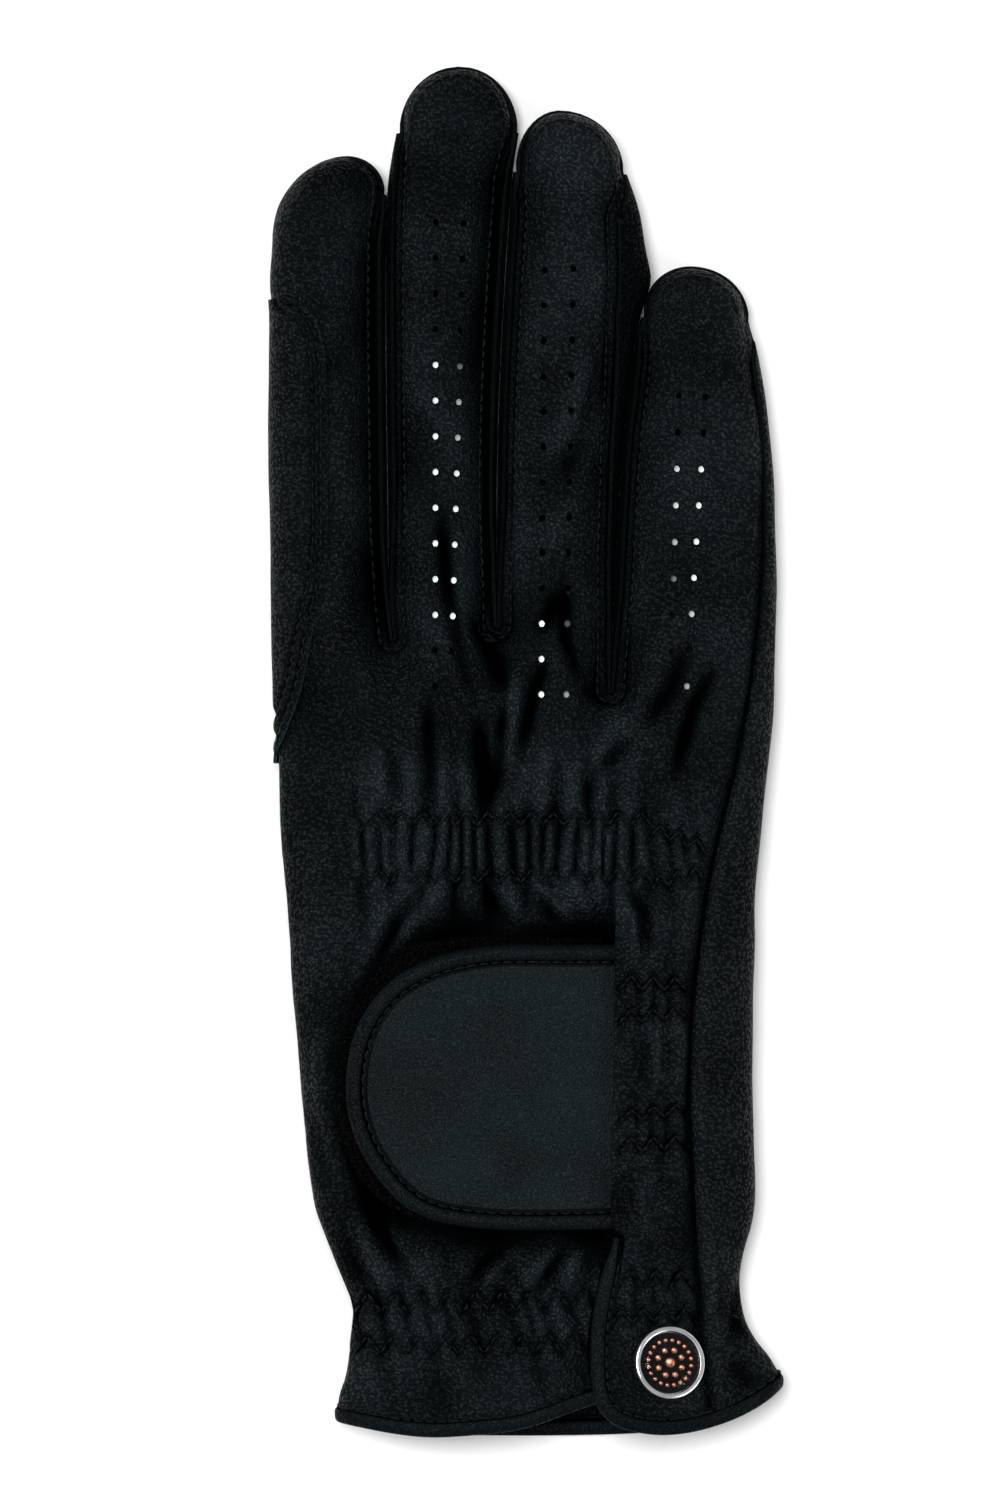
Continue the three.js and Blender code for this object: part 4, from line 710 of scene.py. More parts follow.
def makePlain(name, look):
    # a surface with a fine mottle in its colour, roughness and relief
    material, tree = newMaterial(name)
    where = addNode(tree, "ShaderNodeTexCoord").outputs["Object"]
    speck = addNode(tree, "ShaderNodeTexNoise", inputs={
        "Vector": where, "Scale": 1000 / look["grainMm"], "Detail": 3,
    }).outputs["Fac"]
    spans = [
        (speck, 0.35, 0.65, 0, 1),
        (speck, 0.3, 0.7, look["rough"] - 0.05, look["rough"] + 0.05),
    ]
    mottle, rough = [
        addNode(tree, "ShaderNodeMapRange", inputs=enumerate(span)).outputs[0] for span in spans
    ]
    tone = addNode(tree, "ShaderNodeMix", {"data_type": "RGBA"}, {
        0: mottle, 6: look["dark"], 7: look["colour"],
    }).outputs[2]
    bump = addNode(tree, "ShaderNodeBump", inputs={
        "Strength": look["relief"], "Distance": 0.0001, "Height": speck,
    })
    shader = addNode(tree, "ShaderNodeBsdfPrincipled", inputs={
        "Base Color": tone, "Roughness": rough, "Specular IOR Level": look["gloss"],
        "Metallic": look["metal"], "Normal": bump.outputs["Normal"],
    })
    finishMaterial(tree, shader)
    return material


# the raw edge of the dyed skin, where the blue-green core of the tannage shows
rawEdge = makePlain("raw cut edge", {
    "colour": linear("#1d373c"), "dark": linear("#0c1a1d"), "grainMm": 0.5, "relief": 0.4,
    "rough": 0.8, "gloss": 0.05, "metal": 0,
})
# cut edges that the maker inked black
inkedEdge = makePlain("inked cut edge", {
    "colour": linear("#0a1113"), "dark": linear("#040708"), "grainMm": 0.5, "relief": 0.4,
    "rough": 0.8, "gloss": 0.05, "metal": 0,
})
# bonded polyester sewing thread: a tight twist with a small shine
threadLook = makePlain("bonded polyester thread", {
    "colour": linear("#0a0f12"), "dark": linear("#030506"), "grainMm": 0.25, "relief": 0.7,
    "rough": 0.45, "gloss": 0.08, "metal": 0,
})
# looped nylon pile: deep black with bright specks where a loop catches the light
pileLook = makePlain("looped nylon pile", {
    "colour": linear("#08080a"), "dark": linear("#000000"), "grainMm": 0.3, "relief": 0.9,
    "rough": 0.3, "gloss": 0.06, "metal": 0,
})
# the knit that the loops stand on, matt and almost black
pileGround = makePlain("nylon ground knit", {
    "colour": linear("#030304"), "dark": linear("#000000"), "grainMm": 0.3, "relief": 0.9,
    "rough": 0.9, "gloss": 0.01, "metal": 0,
})


def makeLiningGlow():
    # bleached cotton knit behind the perforations, with painted light: behind each hole it is as pale
    # and glows as much as that hole's value says, for light coming through the glove, and is painted dark
    # where the value is low
    material, tree = newMaterial("bleached cotton knit")
    holeGlow = addNode(tree, "ShaderNodeAttribute", {"attribute_name": "crease"}).outputs["Fac"]
    tone = addNode(tree, "ShaderNodeMix", {"data_type": "RGBA"}, {
        0: holeGlow, 6: linear("#040506"), 7: linear("#eef2f2"),
    }).outputs[2]
    glow = addNode(tree, "ShaderNodeMath", {"operation": "POWER"}, {0: holeGlow, 1: 2.2}).outputs[0]
    shader = addNode(tree, "ShaderNodeBsdfPrincipled", inputs={
        "Base Color": tone, "Roughness": 0.9, "Specular IOR Level": 0.1,
        "Emission Color": linear("#a8aeb0"), "Emission Strength": glow,
    })
    finishMaterial(tree, shader)
    return material


liningGlow = makeLiningGlow()
# polished nickel plate: bright, slightly cool
nickelLook = makePlain("polished nickel plate", {
    "colour": linear("#fafcfc"), "dark": linear("#f0f4f4"), "grainMm": 2.0, "relief": 0.02,
    "rough": 0.2, "gloss": 0.5, "metal": 1,
})
# black lacquer disc with soft gloss
lacquerLook = makePlain("black lacquer", {
    "colour": linear("#020203"), "dark": linear("#010101"), "grainMm": 0.8, "relief": 0.05,
    "rough": 0.4, "gloss": 0.1, "metal": 0,
})
# rose copper inlay, brushed, warm and soft
copperLook = makePlain("brushed copper", {
    "colour": linear("#c98a73"), "dark": linear("#9c5f4c"), "grainMm": 0.3, "relief": 0.5,
    "rough": 0.35, "gloss": 0.5, "metal": 1,
})


def makeDomeLook():
    # clear cast epoxy: smooth and glossy, see-through from above
    material, tree = newMaterial("clear epoxy")
    shader = addNode(tree, "ShaderNodeBsdfPrincipled", inputs={
        "Base Color": linear("#ffffff"), "Roughness": 0.02, "IOR": 1.3,
        "Specular IOR Level": 0.3, "Transmission Weight": 1.0, "Alpha": 0.25,
    })
    finishMaterial(tree, shader)
    return material


domeLook = makeDomeLook()
print("stage 2: materials made")


# Meshes
def addMesh(name, points, faces, materials, slots=None, crease=None, sharp=45):
    mesh = bpy.data.meshes.new(name)
    mesh.from_pydata((np.asarray(points, float) / 1000).tolist(), [], faces)
    for material in materials:
        mesh.materials.append(material)
    if slots is not None:
        mesh.polygons.foreach_set("material_index", slots)
    # the crease attribute holds the relief height, which the leather materials turn into painted shade in
    # hollows and painted highlight on ridges; on the lining it holds each hole's painted glow
    values = np.zeros(len(mesh.vertices)) if crease is None else np.asarray(crease, float)
    mesh.attributes.new("crease", "FLOAT", "POINT").data.foreach_set("value", values)
    mesh.polygons.foreach_set("use_smooth", [True] * len(mesh.polygons))
    mesh.set_sharp_from_angle(angle=math.radians(sharp))
    if meshVolume(mesh) < 0:
        mesh.flip_normals()
    mesh.update()
    piece = bpy.data.objects.new(name, mesh)
    bpy.context.scene.collection.objects.link(piece)
    return piece


def meshVolume(mesh):
    form = bmesh.new()
    form.from_mesh(mesh)
    volume = form.calc_volume(signed=True)
    form.free()
    return volume


def register(piece, node):
    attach(piece, "root")
    if node:
        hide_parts(node)


def sheetMesh(name, outer, inner, coarseColumns, coarseRows, isCell, materials, crease):
    # a sheet of leather with a fine face and a coarser back, joined by a rim at every free edge
    width = outer.shape[1]
    outerId = np.full(outer.shape[:2], -1)
    innerId = np.full(outer.shape[:2], -1)
    points = []
    creases = []

    def vertexOf(table, source, row, column, value):
        if table[row, column] < 0:
            table[row, column] = len(points)
            points.append(source[row, column])
            creases.append(value[row, column] if value is not None else 0.0)
        return table[row, column]

    faces = []
    slots = []
    columnCount = len(coarseColumns) - 1
    rowCount = len(coarseRows) - 1

    def held(i, j):
        return 0 <= i < columnCount and 0 <= j < rowCount and isCell(i, j)

    for j in range(rowCount):
        r0, r1 = coarseRows[j], coarseRows[j + 1]
        for i in range(columnCount):
            if not held(i, j):
                continue
            c0, c1 = coarseColumns[i], coarseColumns[i + 1]
            for r in range(r0, r1):
                for c in range(c0, c1):
                    faces.append([
                        vertexOf(outerId, outer, r, c, crease),
                        vertexOf(outerId, outer, r, c + 1, crease),
                        vertexOf(outerId, outer, r + 1, c + 1, crease),
                        vertexOf(outerId, outer, r + 1, c, crease),
                    ])
                    slots.append(0)
            corners = [(r0, c0), (r0, c1), (r1, c1), (r1, c0)]
            low = [vertexOf(innerId, inner, r, c, None) for r, c in corners]
            faces.append(low[::-1])
            slots.append(0)
            sides = [
                (held(i, j - 1), [(r0, c) for c in range(c0, c1 + 1)]),
                (held(i + 1, j), [(r, c1) for r in range(r0, r1 + 1)]),
                (held(i, j + 1), [(r1, c) for c in range(c1, c0 - 1, -1)]),
                (held(i - 1, j), [(r, c0) for r in range(r1, r0 - 1, -1)]),
            ]
            for k, (joined, run) in enumerate(sides):
                if joined:
                    continue
                a, b = low[k], low[(k + 1) % 4]
                top = [vertexOf(outerId, outer, r, c, crease) for r, c in run]
                if len(top) == 2:
                    faces.append([top[1], top[0], a, b])
                    slots.append(1)
                else:
                    faces.extend([[top[1], top[0], a], [top[2], top[1], b], [top[1], a, b]])
                    slots.extend([1, 1, 1])
    return addMesh(name, points, faces, materials, slots, creases)


def carve(piece, cutter):
    # cuts the cutter out of the piece and removes it
    tool = piece.modifiers.new("carve", "BOOLEAN")
    tool.operation = "DIFFERENCE"
    tool.solver = "MANIFOLD"
    tool.object = cutter
    evaluated = piece.evaluated_get(bpy.context.evaluated_depsgraph_get())
    mesh = bpy.data.meshes.new_from_object(evaluated)
    piece.modifiers.remove(tool)
    old = piece.data
    piece.data = mesh
    bpy.data.meshes.remove(old)
    bpy.data.objects.remove(cutter)


def prismCutter(name, places, low, high, sides):
    points = []
    faces = []
    for x, y, radiusX, radiusY in places:
        start = len(points)
        for z in (low, high):
            for i in range(sides):
                turn = 2 * math.pi * i / sides
                points.append((x + radiusX * math.cos(turn), y + radiusY * math.sin(turn), z))
        faces.append([start + i for i in range(sides)][::-1])
        faces.append([start + sides + i for i in range(sides)])
        for i in range(sides):
            j = (i + 1) % sides
            faces.append([start + i, start + j, start + sides + j, start + sides + i])
    return addMesh(name, points, faces, [inkedEdge])


# Columns and rows of the two leaves. Each block of columns has an even count.
backGrid = {"wrap": 12, "columns": (56, 44, 44, 56), "handRows": 184, "fingerRows": 112}
palmGrid = {"columns": (22, 22, 22, 76), "handRows": 120, "fingerRows": 84}


def leafColumns(counts, wrap):
    columns = [(0, -glove["edgeWrap"] / 2 * (1 - i / wrap)) for i in range(wrap)] if wrap else []
    coarse = list(range(0, wrap, 2)) if wrap else []
    for block, count in enumerate(counts):
        first = len(columns)
        columns += [(block, i / count) for i in range(count + 1)]
        coarse += list(range(first, first + count + 1, 2))
    return columns, coarse


def leafRows(handRows, fingerRows):
    # along: below zero on the hand, above zero on the fingers, closer together at the tips
    hand = [-(1 - i / handRows) for i in range(handRows)]
    finger = [mix(i / fingerRows, 1 - (1 - i / fingerRows) ** 1.6, 0.7) for i in range(fingerRows + 1)]
    return hand + finger


def leafPoints(surface, columns, rows, facing):
    along = np.array(rows)
    points = np.zeros((len(rows), len(columns), 3))
    normals = np.zeros_like(points)
    for block in range(4):
        picked = [i for i, column in enumerate(columns) if column[0] == block]
        across = np.array([columns[i][1] for i in picked])
        u, v = np.meshgrid(across, along)
        points[:, picked] = surface(block, u, v)
        normals[:, picked] = normalsOf(surface, block, u, v, facing)
    return points, normals


def softNoise(points, size, seed):
    shift = Vector((seed * 3.1, seed * 1.7, seed * 2.3))
    flat = points.reshape(-1, 3)
    values = [noise.noise(Vector(p) / size + shift) for p in flat.tolist()]
    return np.array(values).reshape(points.shape[:-1])


def pleatRelief(x, y, wander):
    total = np.zeros(x.shape)
    for bandX, bandY, reachX, reachY, pitch, rise, lean in gathers:
        outX = np.abs(x - widthAt(bandX)) / widthAt(reachX)
        offY = y - lengthAt(bandY)
        outY = np.abs(offY) / lengthAt(reachY)
        phase = (x + lean * offY + 2.6 * wander) / pitch
        ridge = np.abs(np.sin(np.pi * phase)) ** 0.75 - 0.55
        wide = np.abs(np.sin(np.pi * phase * 0.5 + 0.6)) ** 0.8 - 0.55
        core = np.exp(-(outY ** 4))
        tail = np.exp(-((outY / 2.1) ** 2)) * (1 - core)
        total += rise * easeIn((1.08 - outX) * 6) * (ridge * core + 1.0 * wide * tail)
    return total * (1 - padShare(x, y))


def nearest(points, line):
    # distance of every point to a densely sampled line
    tree = KDTree(len(line))
    for i, p in enumerate(line):
        tree.insert(Vector(p), i)
    tree.balance()
    flat = points.reshape(-1, 3).tolist()
    return np.array([tree.find(Vector(p))[2] for p in flat]).reshape(points.shape[:-1])


def rimLines():
    # free edges of the finger backs: up each side, round the tip, and round each slit's end
    lines = []
    up = np.linspace(0, 1, 400)
    for finger in range(4):
        ones = np.ones_like(up)
        if finger > 0:
            lines.append(backPoint(finger, ones * 0, up))
        if finger < 3:
            lines.append(backPoint(finger, ones, up))
        start = 0.72 if finger == 0 else 0.0
        lines.append(backPoint(finger, np.linspace(start, 1, 160), np.ones(160)))
    for gap in range(3):
        a = backPoint(gap, np.array([1.0]), np.array([0.0]))[0]
        b = backPoint(gap + 1, np.array([0.0]), np.array([0.0]))[0]
        lines.append(np.array([mix(a, b, t) for t in np.linspace(0, 1, 6)]))
    return lines


seamLook = {"stitchIn": 1.95, "lipDrop": 0.55, "valley": 0.6, "valleyWide": 0.42, "sag": 0.3}


def lipRelief(distance):
    edge = -seamLook["lipDrop"] * np.exp(-((distance / 0.35) ** 2))
    dip = (distance - seamLook["stitchIn"]) / seamLook["valleyWide"]
    valley = -seamLook["valley"] * np.exp(-(dip ** 2))
    return edge + valley - seamLook["sag"] * np.exp(-((distance / 2.6) ** 2))


# Closing tab and pile pad: stations of the rims from the upper flat end round the left: x, y
tab = {
    "rim": [
        (19.5, -14.0), (8.0, -14.0), (-4.4, -14.0), (-12.7, -14.4), (-18.9, -15.1), (-25.2, -16.4),
        (-29.5, -18.1), (-32.4, -20.0), (-34.0, -22.2), (-34.5, -24.5), (-33.8, -26.7),
        (-31.6, -29.0), (-27.6, -31.3), (-23.1, -33.0), (-17.7, -34.0), (-10.5, -34.5),
        (-2.2, -34.7), (8.0, -34.7), (18.8, -34.6),
    ],
    "low": 1.95, "thick": 1.4, "binding": 4.0, "bindingThick": 1.7, "stations": 150,
    "stitchIn": 3.05,
}
pad = {
    "rim": [
        (14.6, -13.5), (5, -13.5), (-5, -13.4), (-16.5, -13.6), (-25.0, -14.6), (-31.6, -17.4),
        (-35.2, -21.0), (-36.2, -24.0), (-35.6, -27.2), (-32.8, -30.3), (-28.0, -32.5),
        (-20.4, -34.0), (-10.7, -34.5), (2, -34.5), (14.2, -34.5),
    ],
    "low": 0.6, "thick": 0.9, "loops": 2600, "seed": 11,
}


def splineThrough(rows, count):
    # evenly spaced points on a smooth line through the rows, with its direction at each
    table = np.array(rows, float)
    at = np.stack([widthAt(table[:, 0]), lengthAt(table[:, 1])], axis=-1)
    padded = np.concatenate([[2 * at[0] - at[1]], at, [2 * at[-1] - at[-2]]])
    fine = []
    for i in range(len(at) - 1):
        a, b, c, d = padded[i:i + 4]
        for t in np.linspace(0, 1, 30, endpoint=False):
            fine.append(0.5 * (2 * b + (c - a) * t + (2 * a - 5 * b + 4 * c - d) * t ** 2
                               + (3 * b - a - 3 * c + d) * t ** 3))
    fine.append(at[-1])
    return evenly(np.array(fine), count)


def evenly(line, count):
    run = np.concatenate([[0], np.cumsum(np.linalg.norm(np.diff(line, axis=0), axis=1))])
    at = np.linspace(0, run[-1], count)
    points = np.stack([np.interp(at, run, line[:, k]) for k in range(line.shape[1])], axis=-1)
    ahead = np.gradient(points, axis=0)
    return points, ahead / np.linalg.norm(ahead, axis=1, keepdims=True)


# zigzag rows of sewn-in elastic: start x, y, end x, y, number of waves, swing in mm
zigzags = [
    (-30.2, -4.9, 24.2, -4.9, 13, 2.3),
    (-30.2, -9.1, 24.2, -9.0, 13, 2.3),
    (24.2, -5.6, 34.6, -7.0, 3, 2.2),
    (24.2, -9.6, 34.2, -8.8, 3, 2.2),
    (-33.0, -40.2, 13.8, -39.8, 9, 3.6),
    (-33.0, -43.2, 12.0, -43.0, 9, 3.0),
    (17.6, -38.2, 32.4, -38.4, 3, 3.0),
    (16.4, -41.0, 33.0, -40.9, 4, 2.5),
    (34.4, -38.5, 40.6, -38.9, 1, 2.2),
    (34.8, -40.9, 41.2, -41.0, 1, 1.8),
    (18.0, -16.7, 30.8, -16.9, 3, 2.2),
    (18.0, -19.2, 30.8, -18.9, 3, 2.2),
    (18.0, -26.4, 31.0, -25.9, 3, 2.0),
    (18.0, -28.5, 31.0, -28.3, 3, 2.4),
]


def zigzagLine(startX, startY, endX, endY, waves, swing, pieces=1):
    # corners of a zigzag row, with each leg cut into pieces
    steps = np.arange(waves * 2 * pieces + 1) / pieces
    share = steps / (waves * 2)
    wave = np.abs((steps + 1) % 2 - 1) * 2 - 1
    x = widthAt(mix(startX, endX, share))
    y = lengthAt(mix(startY, endY, share)) + wave * swing / 2
    return place(x, y, 0)


def flankShade(columns, rows):
    # the hidden side of the index and middle fingers, which never sees the light
    across = np.array([column[1] for column in columns])[None, :]
    onFlank = np.array([column[0] < 2 for column in columns])[None, :]
    along = np.array(rows)[:, None]
    window = easeIn((along + 0.02) / 0.12) * easeIn((0.97 - along) / 0.2)
    return easeIn((across - 0.7) / 0.25) * window * onFlank


def tabPaintedShade(flat):
    # painted shade round the tab's edge, where the leather is bunched: how close a place is to the tab's
    # edge
    rim = splineThrough(tab["rim"], 300)[0]
    away = nearest(flat, np.concatenate([rim, np.zeros((300, 1))], axis=1))
    return np.exp(-((away / 5.5) ** 2)) * easeIn((gapLines[2](flat[..., 1]) + 1 - flat[..., 0]) / 2)


def rimmed(normals, columns, rows, facing):
    # at the finger slits and tips the rim leans between the face and the slit
    last = len(rows) - 1
    changed = normals.copy()
    for i, (block, across) in enumerate(columns):
        isLeft = across == 1 and block < 3
        isRight = across == 0 and block > 0
        if not (isLeft or isRight):
            continue
        for j, along in enumerate(rows):
            if along >= 0:
                changed[j, i] = slitNormal(1 if isLeft else -1, along, facing)
    flat = normals[last].copy()
    flat[:, 2] = 0
    changed[last] = flat / np.maximum(np.linalg.norm(flat, axis=-1, keepdims=True), 1e-9)
    return changed


def buildBack():
    columns, coarse = leafColumns(backGrid["columns"], backGrid["wrap"])
    rows = leafRows(backGrid["handRows"], backGrid["fingerRows"])
    points, normals = leafPoints(backPoint, columns, rows, 1)
    x, y = points[..., 0], points[..., 1]
    wander = softNoise(points * [1, 0.35, 0], 9.0, glove["seed"])
    soft = softNoise(points, 13.0, glove["seed"] + 1) * 0.6
    small = softNoise(points, 4.0, glove["seed"] + 2) * 0.09
    detail = pleatRelief(x, y, wander) + creaseGain * foldShape(x, y, creases) * (1 - padShare(x, y))
    detail = creaseLimit * np.tanh(detail / creaseLimit)
    rim = nearest(points, np.concatenate(rimLines()))
    fade = easeIn(rim / 2.4)
    detail = (detail + soft + small) * mix(0.35, 1.0, fade) + lipRelief(rim)
    seam = np.abs(x - sideSeam(y)) + np.where(points[..., 2] < 4, 5, 0)
    detail -= 0.35 * np.exp(-((seam / 0.7) ** 2))
    hem = y - backHem(x) - bindingEdge
    detail *= easeIn(hem / 2.5 + 0.2)
    flat = place(x, y, 0)
    sewn = nearest(flat, np.concatenate([zigzagLine(*row, 12) for row in zigzags]))
    detail -= 0.7 * np.exp(-((sewn / 0.55) ** 2))
    outer = points + normals * detail[..., None]
    # tone: the relief height less painted shade near the tab and on the hidden flanks of the index and
    # middle fingers; kept in the crease attribute, it darkens the leather's colour there
    tone = detail - 0.85 * tabPaintedShade(flat) - 0.8 * flankShade(columns, rows)
    lean = rimmed(normals, columns, rows, 1)
    inner = points + normals * (detail * 0.4)[..., None] - lean * glove["leather"]
    coarseRows = list(range(0, backGrid["handRows"] + backGrid["fingerRows"] + 1, 2))
    blocks = [columns[c][0] for c in coarse]
    handCount = backGrid["handRows"] // 2
    ventDown = (7 + 12.4) / 54
    ventRow = round((1 - ventDown) * handCount)

    def isCell(i, j):
        if blocks[i] == blocks[i + 1]:
            return True
        if j >= handCount:
            return False
        return blocks[i] != 2 or j >= ventRow

    return sheetMesh("backPanel", outer, inner, coarse, coarseRows, isCell, [goatskin, inkedEdge], tone)


backPanel = buildBack()
print("stage 3: back panel, faces", len(backPanel.data.polygons))

# perforations from the one nearest the tip: x, y, end x, end y, and for each hole how bright
# the painted light of the lining behind it is, from 0 to 9
perforations = {
    "radius": 0.49,
    "sides": 14,
    "rows": [
        (-17.3, 38.4, -17.4, 4.7, "00009999999900"),
        (-11.9, 38.3, -14.2, 7.2, "0000256999991"),
        (3.6, 34.9, 3.0, 4.1, "0000300110999"),
        (9.2, 35.0, 7.8, 4.1, "0002000000104"),
        (29.5, 25.8, 28.1, 7.2, "00775200"),
        (34.7, 25.7, 31.0, 4.7, "049999604"),
    ],
}


def perforationPlaces():
    # x and y of every hole, and the share of painted light on the lining behind it
    places = []
    for x, y, endX, endY, holeGlow in perforations["rows"]:
        for i, digit in enumerate(holeGlow):
            share = i / (len(holeGlow) - 1)
            places.append((widthAt(mix(x, endX, share)), lengthAt(mix(y, endY, share)), int(digit) / 9))
    return np.array(places)


def punchPlaces():
    radius = perforations["radius"]
    return [(x, y, radius, radius * 1.15) for x, y, holeGlow in perforationPlaces()]


def bareRim(piece, low, high):
    # the cut edge between two places keeps the colour of the raw skin
    piece.data.materials.append(rawEdge)
    for polygon in piece.data.polygons:
        middle = polygon.center * 1000
        inside = all(low[k] < middle[k] < high[k] for k in range(2))
        if inside and polygon.material_index == 1:
            polygon.material_index = 2


bareRim(backPanel, (-26, 20), (-21, 37))
carve(backPanel, prismCutter("punch", punchPlaces(), 7.5, 25, perforations["sides"]))
register(backPanel, "back_panel")
print("stage 4: perforations, faces", len(backPanel.data.polygons))


def buildPalm():
    columns, coarse = leafColumns(palmGrid["columns"], 0)
    rows = leafRows(palmGrid["handRows"], palmGrid["fingerRows"])
    points, normals = leafPoints(palmPoint, columns, rows, -1)
    x, y, z = points[..., 0], points[..., 1], points[..., 2]
    raised = easeIn((z - 1.2) / 3)
    wander = softNoise(points * [1, 0.35, 0], 9.0, glove["seed"])
    soft = softNoise(points, 12.0, glove["seed"] + 4) * 0.3 * raised
    upper = easeIn((normals[..., 2] + 0.1) * 3)
    detail = (pleatRelief(x, y, wander) + creaseGain * foldShape(x, y, creases)) * upper * raised + soft
    seam = np.hypot(x - sideSeam(y), np.where(upper > 0.2, 0, 9))
    detail += 0.25 * np.exp(-(((seam - 1.6) / 0.9) ** 2)) - 0.3 * np.exp(-((seam / 0.6) ** 2))
    detail *= easeIn((y - palmHem(x) - bindingEdge) / 2.5 + 0.2)
    outer = points + normals * detail[..., None]
    outer[..., 2] = np.maximum(outer[..., 2], 0.02)
    lean = rimmed(normals, columns, rows, -1)
    inner = points + normals * (detail * 0.4)[..., None] - lean * glove["leather"]
    coarseRows = list(range(0, palmGrid["handRows"] + palmGrid["fingerRows"] + 1, 2))
    blocks = [columns[c][0] for c in coarse]
    handCount = palmGrid["handRows"] // 2

    def isCell(i, j):
        return blocks[i] == blocks[i + 1] or j < handCount

    return sheetMesh("palmPanel", outer, inner, coarse, coarseRows, isCell, [palmSkin, inkedEdge], detail)


palmPanel = buildPalm()
carve(palmPanel, prismCutter("thumbHole", [(-14, -46, 10.8, 14.2)], 3, 15, 40))
register(palmPanel, "palm_panel")
print("stage 5: palm panel, faces", len(palmPanel.data.polygons))

# Side strips between the fingers, up one finger's side and down the next one's.
strips = {"thick": 0.8, "gap": 0.55, "stations": 60, "steps": 8, "bulge": 0.38}


def stripStation(gap, side, along):
    block = gap if side > 0 else gap + 1
    edge = np.array([1.0 if side > 0 else 0.0])
    level = np.array([along])
    back = backPoint(block, edge, level)[0]
    palm = palmPoint(block, edge, level)[0]
    out = np.array([side, 1.0 if along == 0 else 0.0, 0.0])
    out /= np.linalg.norm(out)
    topNormal = slitNormal(side, along, 1)
    lowNormal = slitNormal(side, along, -1)
    topStep = out * topNormal[2] - np.array([0, 0, 1.0])
    lowStep = out * -lowNormal[2] + np.array([0, 0, 1.0])
    top = back + topStep / np.linalg.norm(topStep) * strips["gap"]
    low = palm + lowStep / np.linalg.norm(lowStep) * strips["gap"]
    inward = out * (math.sqrt(2) if along == 0 else 1)
    points = []
    normals = []
    for k in range(strips["steps"] + 1):
        share = k / strips["steps"]
        point = mix(low, top, share)
        outline = float((rightOutline if side > 0 else leftOutline)(block, point[1]))
        other = float((leftOutline if side > 0 else rightOutline)(block, point[1]))
        height = glove["fingerHeight"] - fingerMiddle if point[2] > fingerMiddle else fingerMiddle + 0.5
        round_ = float(ringRise((point[2] - fingerMiddle) / height))
        middle = (outline + other) / 2
        bowed = mix(outline, middle + (outline - middle) * max(round_, 0.9), float(easeIn(along / blendEnd)))
        bowed += side * strips["bulge"]
        belly = math.sin(math.pi * share) ** 0.5 if 0 < share < 1 else 0
        point[0] = mix(point[0], bowed, belly)
        points.append(point)
        if share in (0, 1):
            normals.append(topNormal if share == 1 else lowNormal)
        else:
            normals.append(inward)
    return points, normals


def buildStrip(gap, name):
    count = strips["stations"]
    levels = [0.98 * (1 - i / count) ** 1.2 for i in range(count + 1)]
    stations = [stripStation(gap, 1, along) for along in levels]
    stations += [stripStation(gap, -1, along) for along in levels[::-1]]
    outer = np.array([s[0] for s in stations]).transpose(1, 0, 2)
    normals = np.array([s[1] for s in stations]).transpose(1, 0, 2)
    inner = outer - normals * strips["thick"]
    coarse = list(range(outer.shape[1]))
    rows = list(range(outer.shape[0]))
    # painted shade: the side strips lie in shadow between the fingers, so a set crease value darkens them
    # all over
    tone = np.full(outer.shape[:2], -0.5)
    return sheetMesh(name, outer, inner, coarse, rows, lambda i, j: True, [palmSkin, inkedEdge], tone)


for gap, (name, node) in enumerate([
    ("indexSideStrip", "fourchette_index_middle"),
    ("middleSideStrip", "fourchette_middle_ring"),
    ("ringSideStrip", "fourchette_ring_little"),
]):
    register(buildStrip(gap, name), node)
print("stage 6: side strips")

# Folded thumb under the palm: upper y and z, lower y and z, half width.
thumbRows = [
    (-30, 8.1, -62, 8.1, 12.4),
    (-29.6, 8.1, -60.8, 3.6, 12.9),
    (-28.4, 8.1, -55, 0.3, 13.2),
    (-25, 8.1, -42, 0, 13.2),
    (-18, 8.1, -24, 0, 13.1),
    (-9, 8.1, -10, 0, 12.8),
    (0, 7.9, 0, 0, 12.2),
    (5.5, 7.4, 5.5, 0, 10.6),
    (9, 6.4, 9, 0.4, 7.4),
    (10.8, 4.8, 10.8, 2.4, 3),
]
thumb = {"sides": 48, "between": 5, "leather": 0.8}


def thumbRing(row, inset):
    topY, topZ, lowY, lowZ, half = row
    top = np.array([thumbShape["x"], topY, topZ])
    low = np.array([thumbShape["x"], lowY, lowZ])
    reach = (top - low) / 2
    full = np.linalg.norm(reach)
    reach = reach * (full - inset) / full
    angle = 2 * np.pi * np.arange(thumb["sides"]) / thumb["sides"]
    points = (top + low) / 2 + reach * ringUp(angle)[:, None]
    points[:, 0] += (half - inset) * ringAcross(angle)
    points[:, 2] = np.maximum(points[:, 2], 0.02 + inset)
    return points


def buildThumb():
    table = np.array(thumbRows, float)
    keys = np.arange(len(table))
    lines = [curveThrough(keys, table[:, k]) for k in range(5)]
    fine = np.linspace(0, len(table) - 1, (len(table) - 1) * thumb["between"] + 1)
    rows = [[float(line(key)) for line in lines] for key in fine]
    outer = [thumbRing(row, 0) for row in rows]
    inner = [thumbRing(row, thumb["leather"]) for row in rows[:-4]]
    rings = inner[::-1] + outer
    sides = thumb["sides"]
    faces = []
    for k in range(len(rings) - 1):
        for i in range(sides):
            j = (i + 1) % sides
            faces.append([k * sides + i, k * sides + j, (k + 1) * sides + j, (k + 1) * sides + i])
    last = (len(rings) - 1) * sides
    faces.append([i for i in range(sides)][::-1])
    faces.append([last + i for i in range(sides)])
    return addMesh("thumbStall", np.concatenate(rings), faces, [palmSkin])


register(buildThumb(), "thumb")
print("stage 7: thumb")


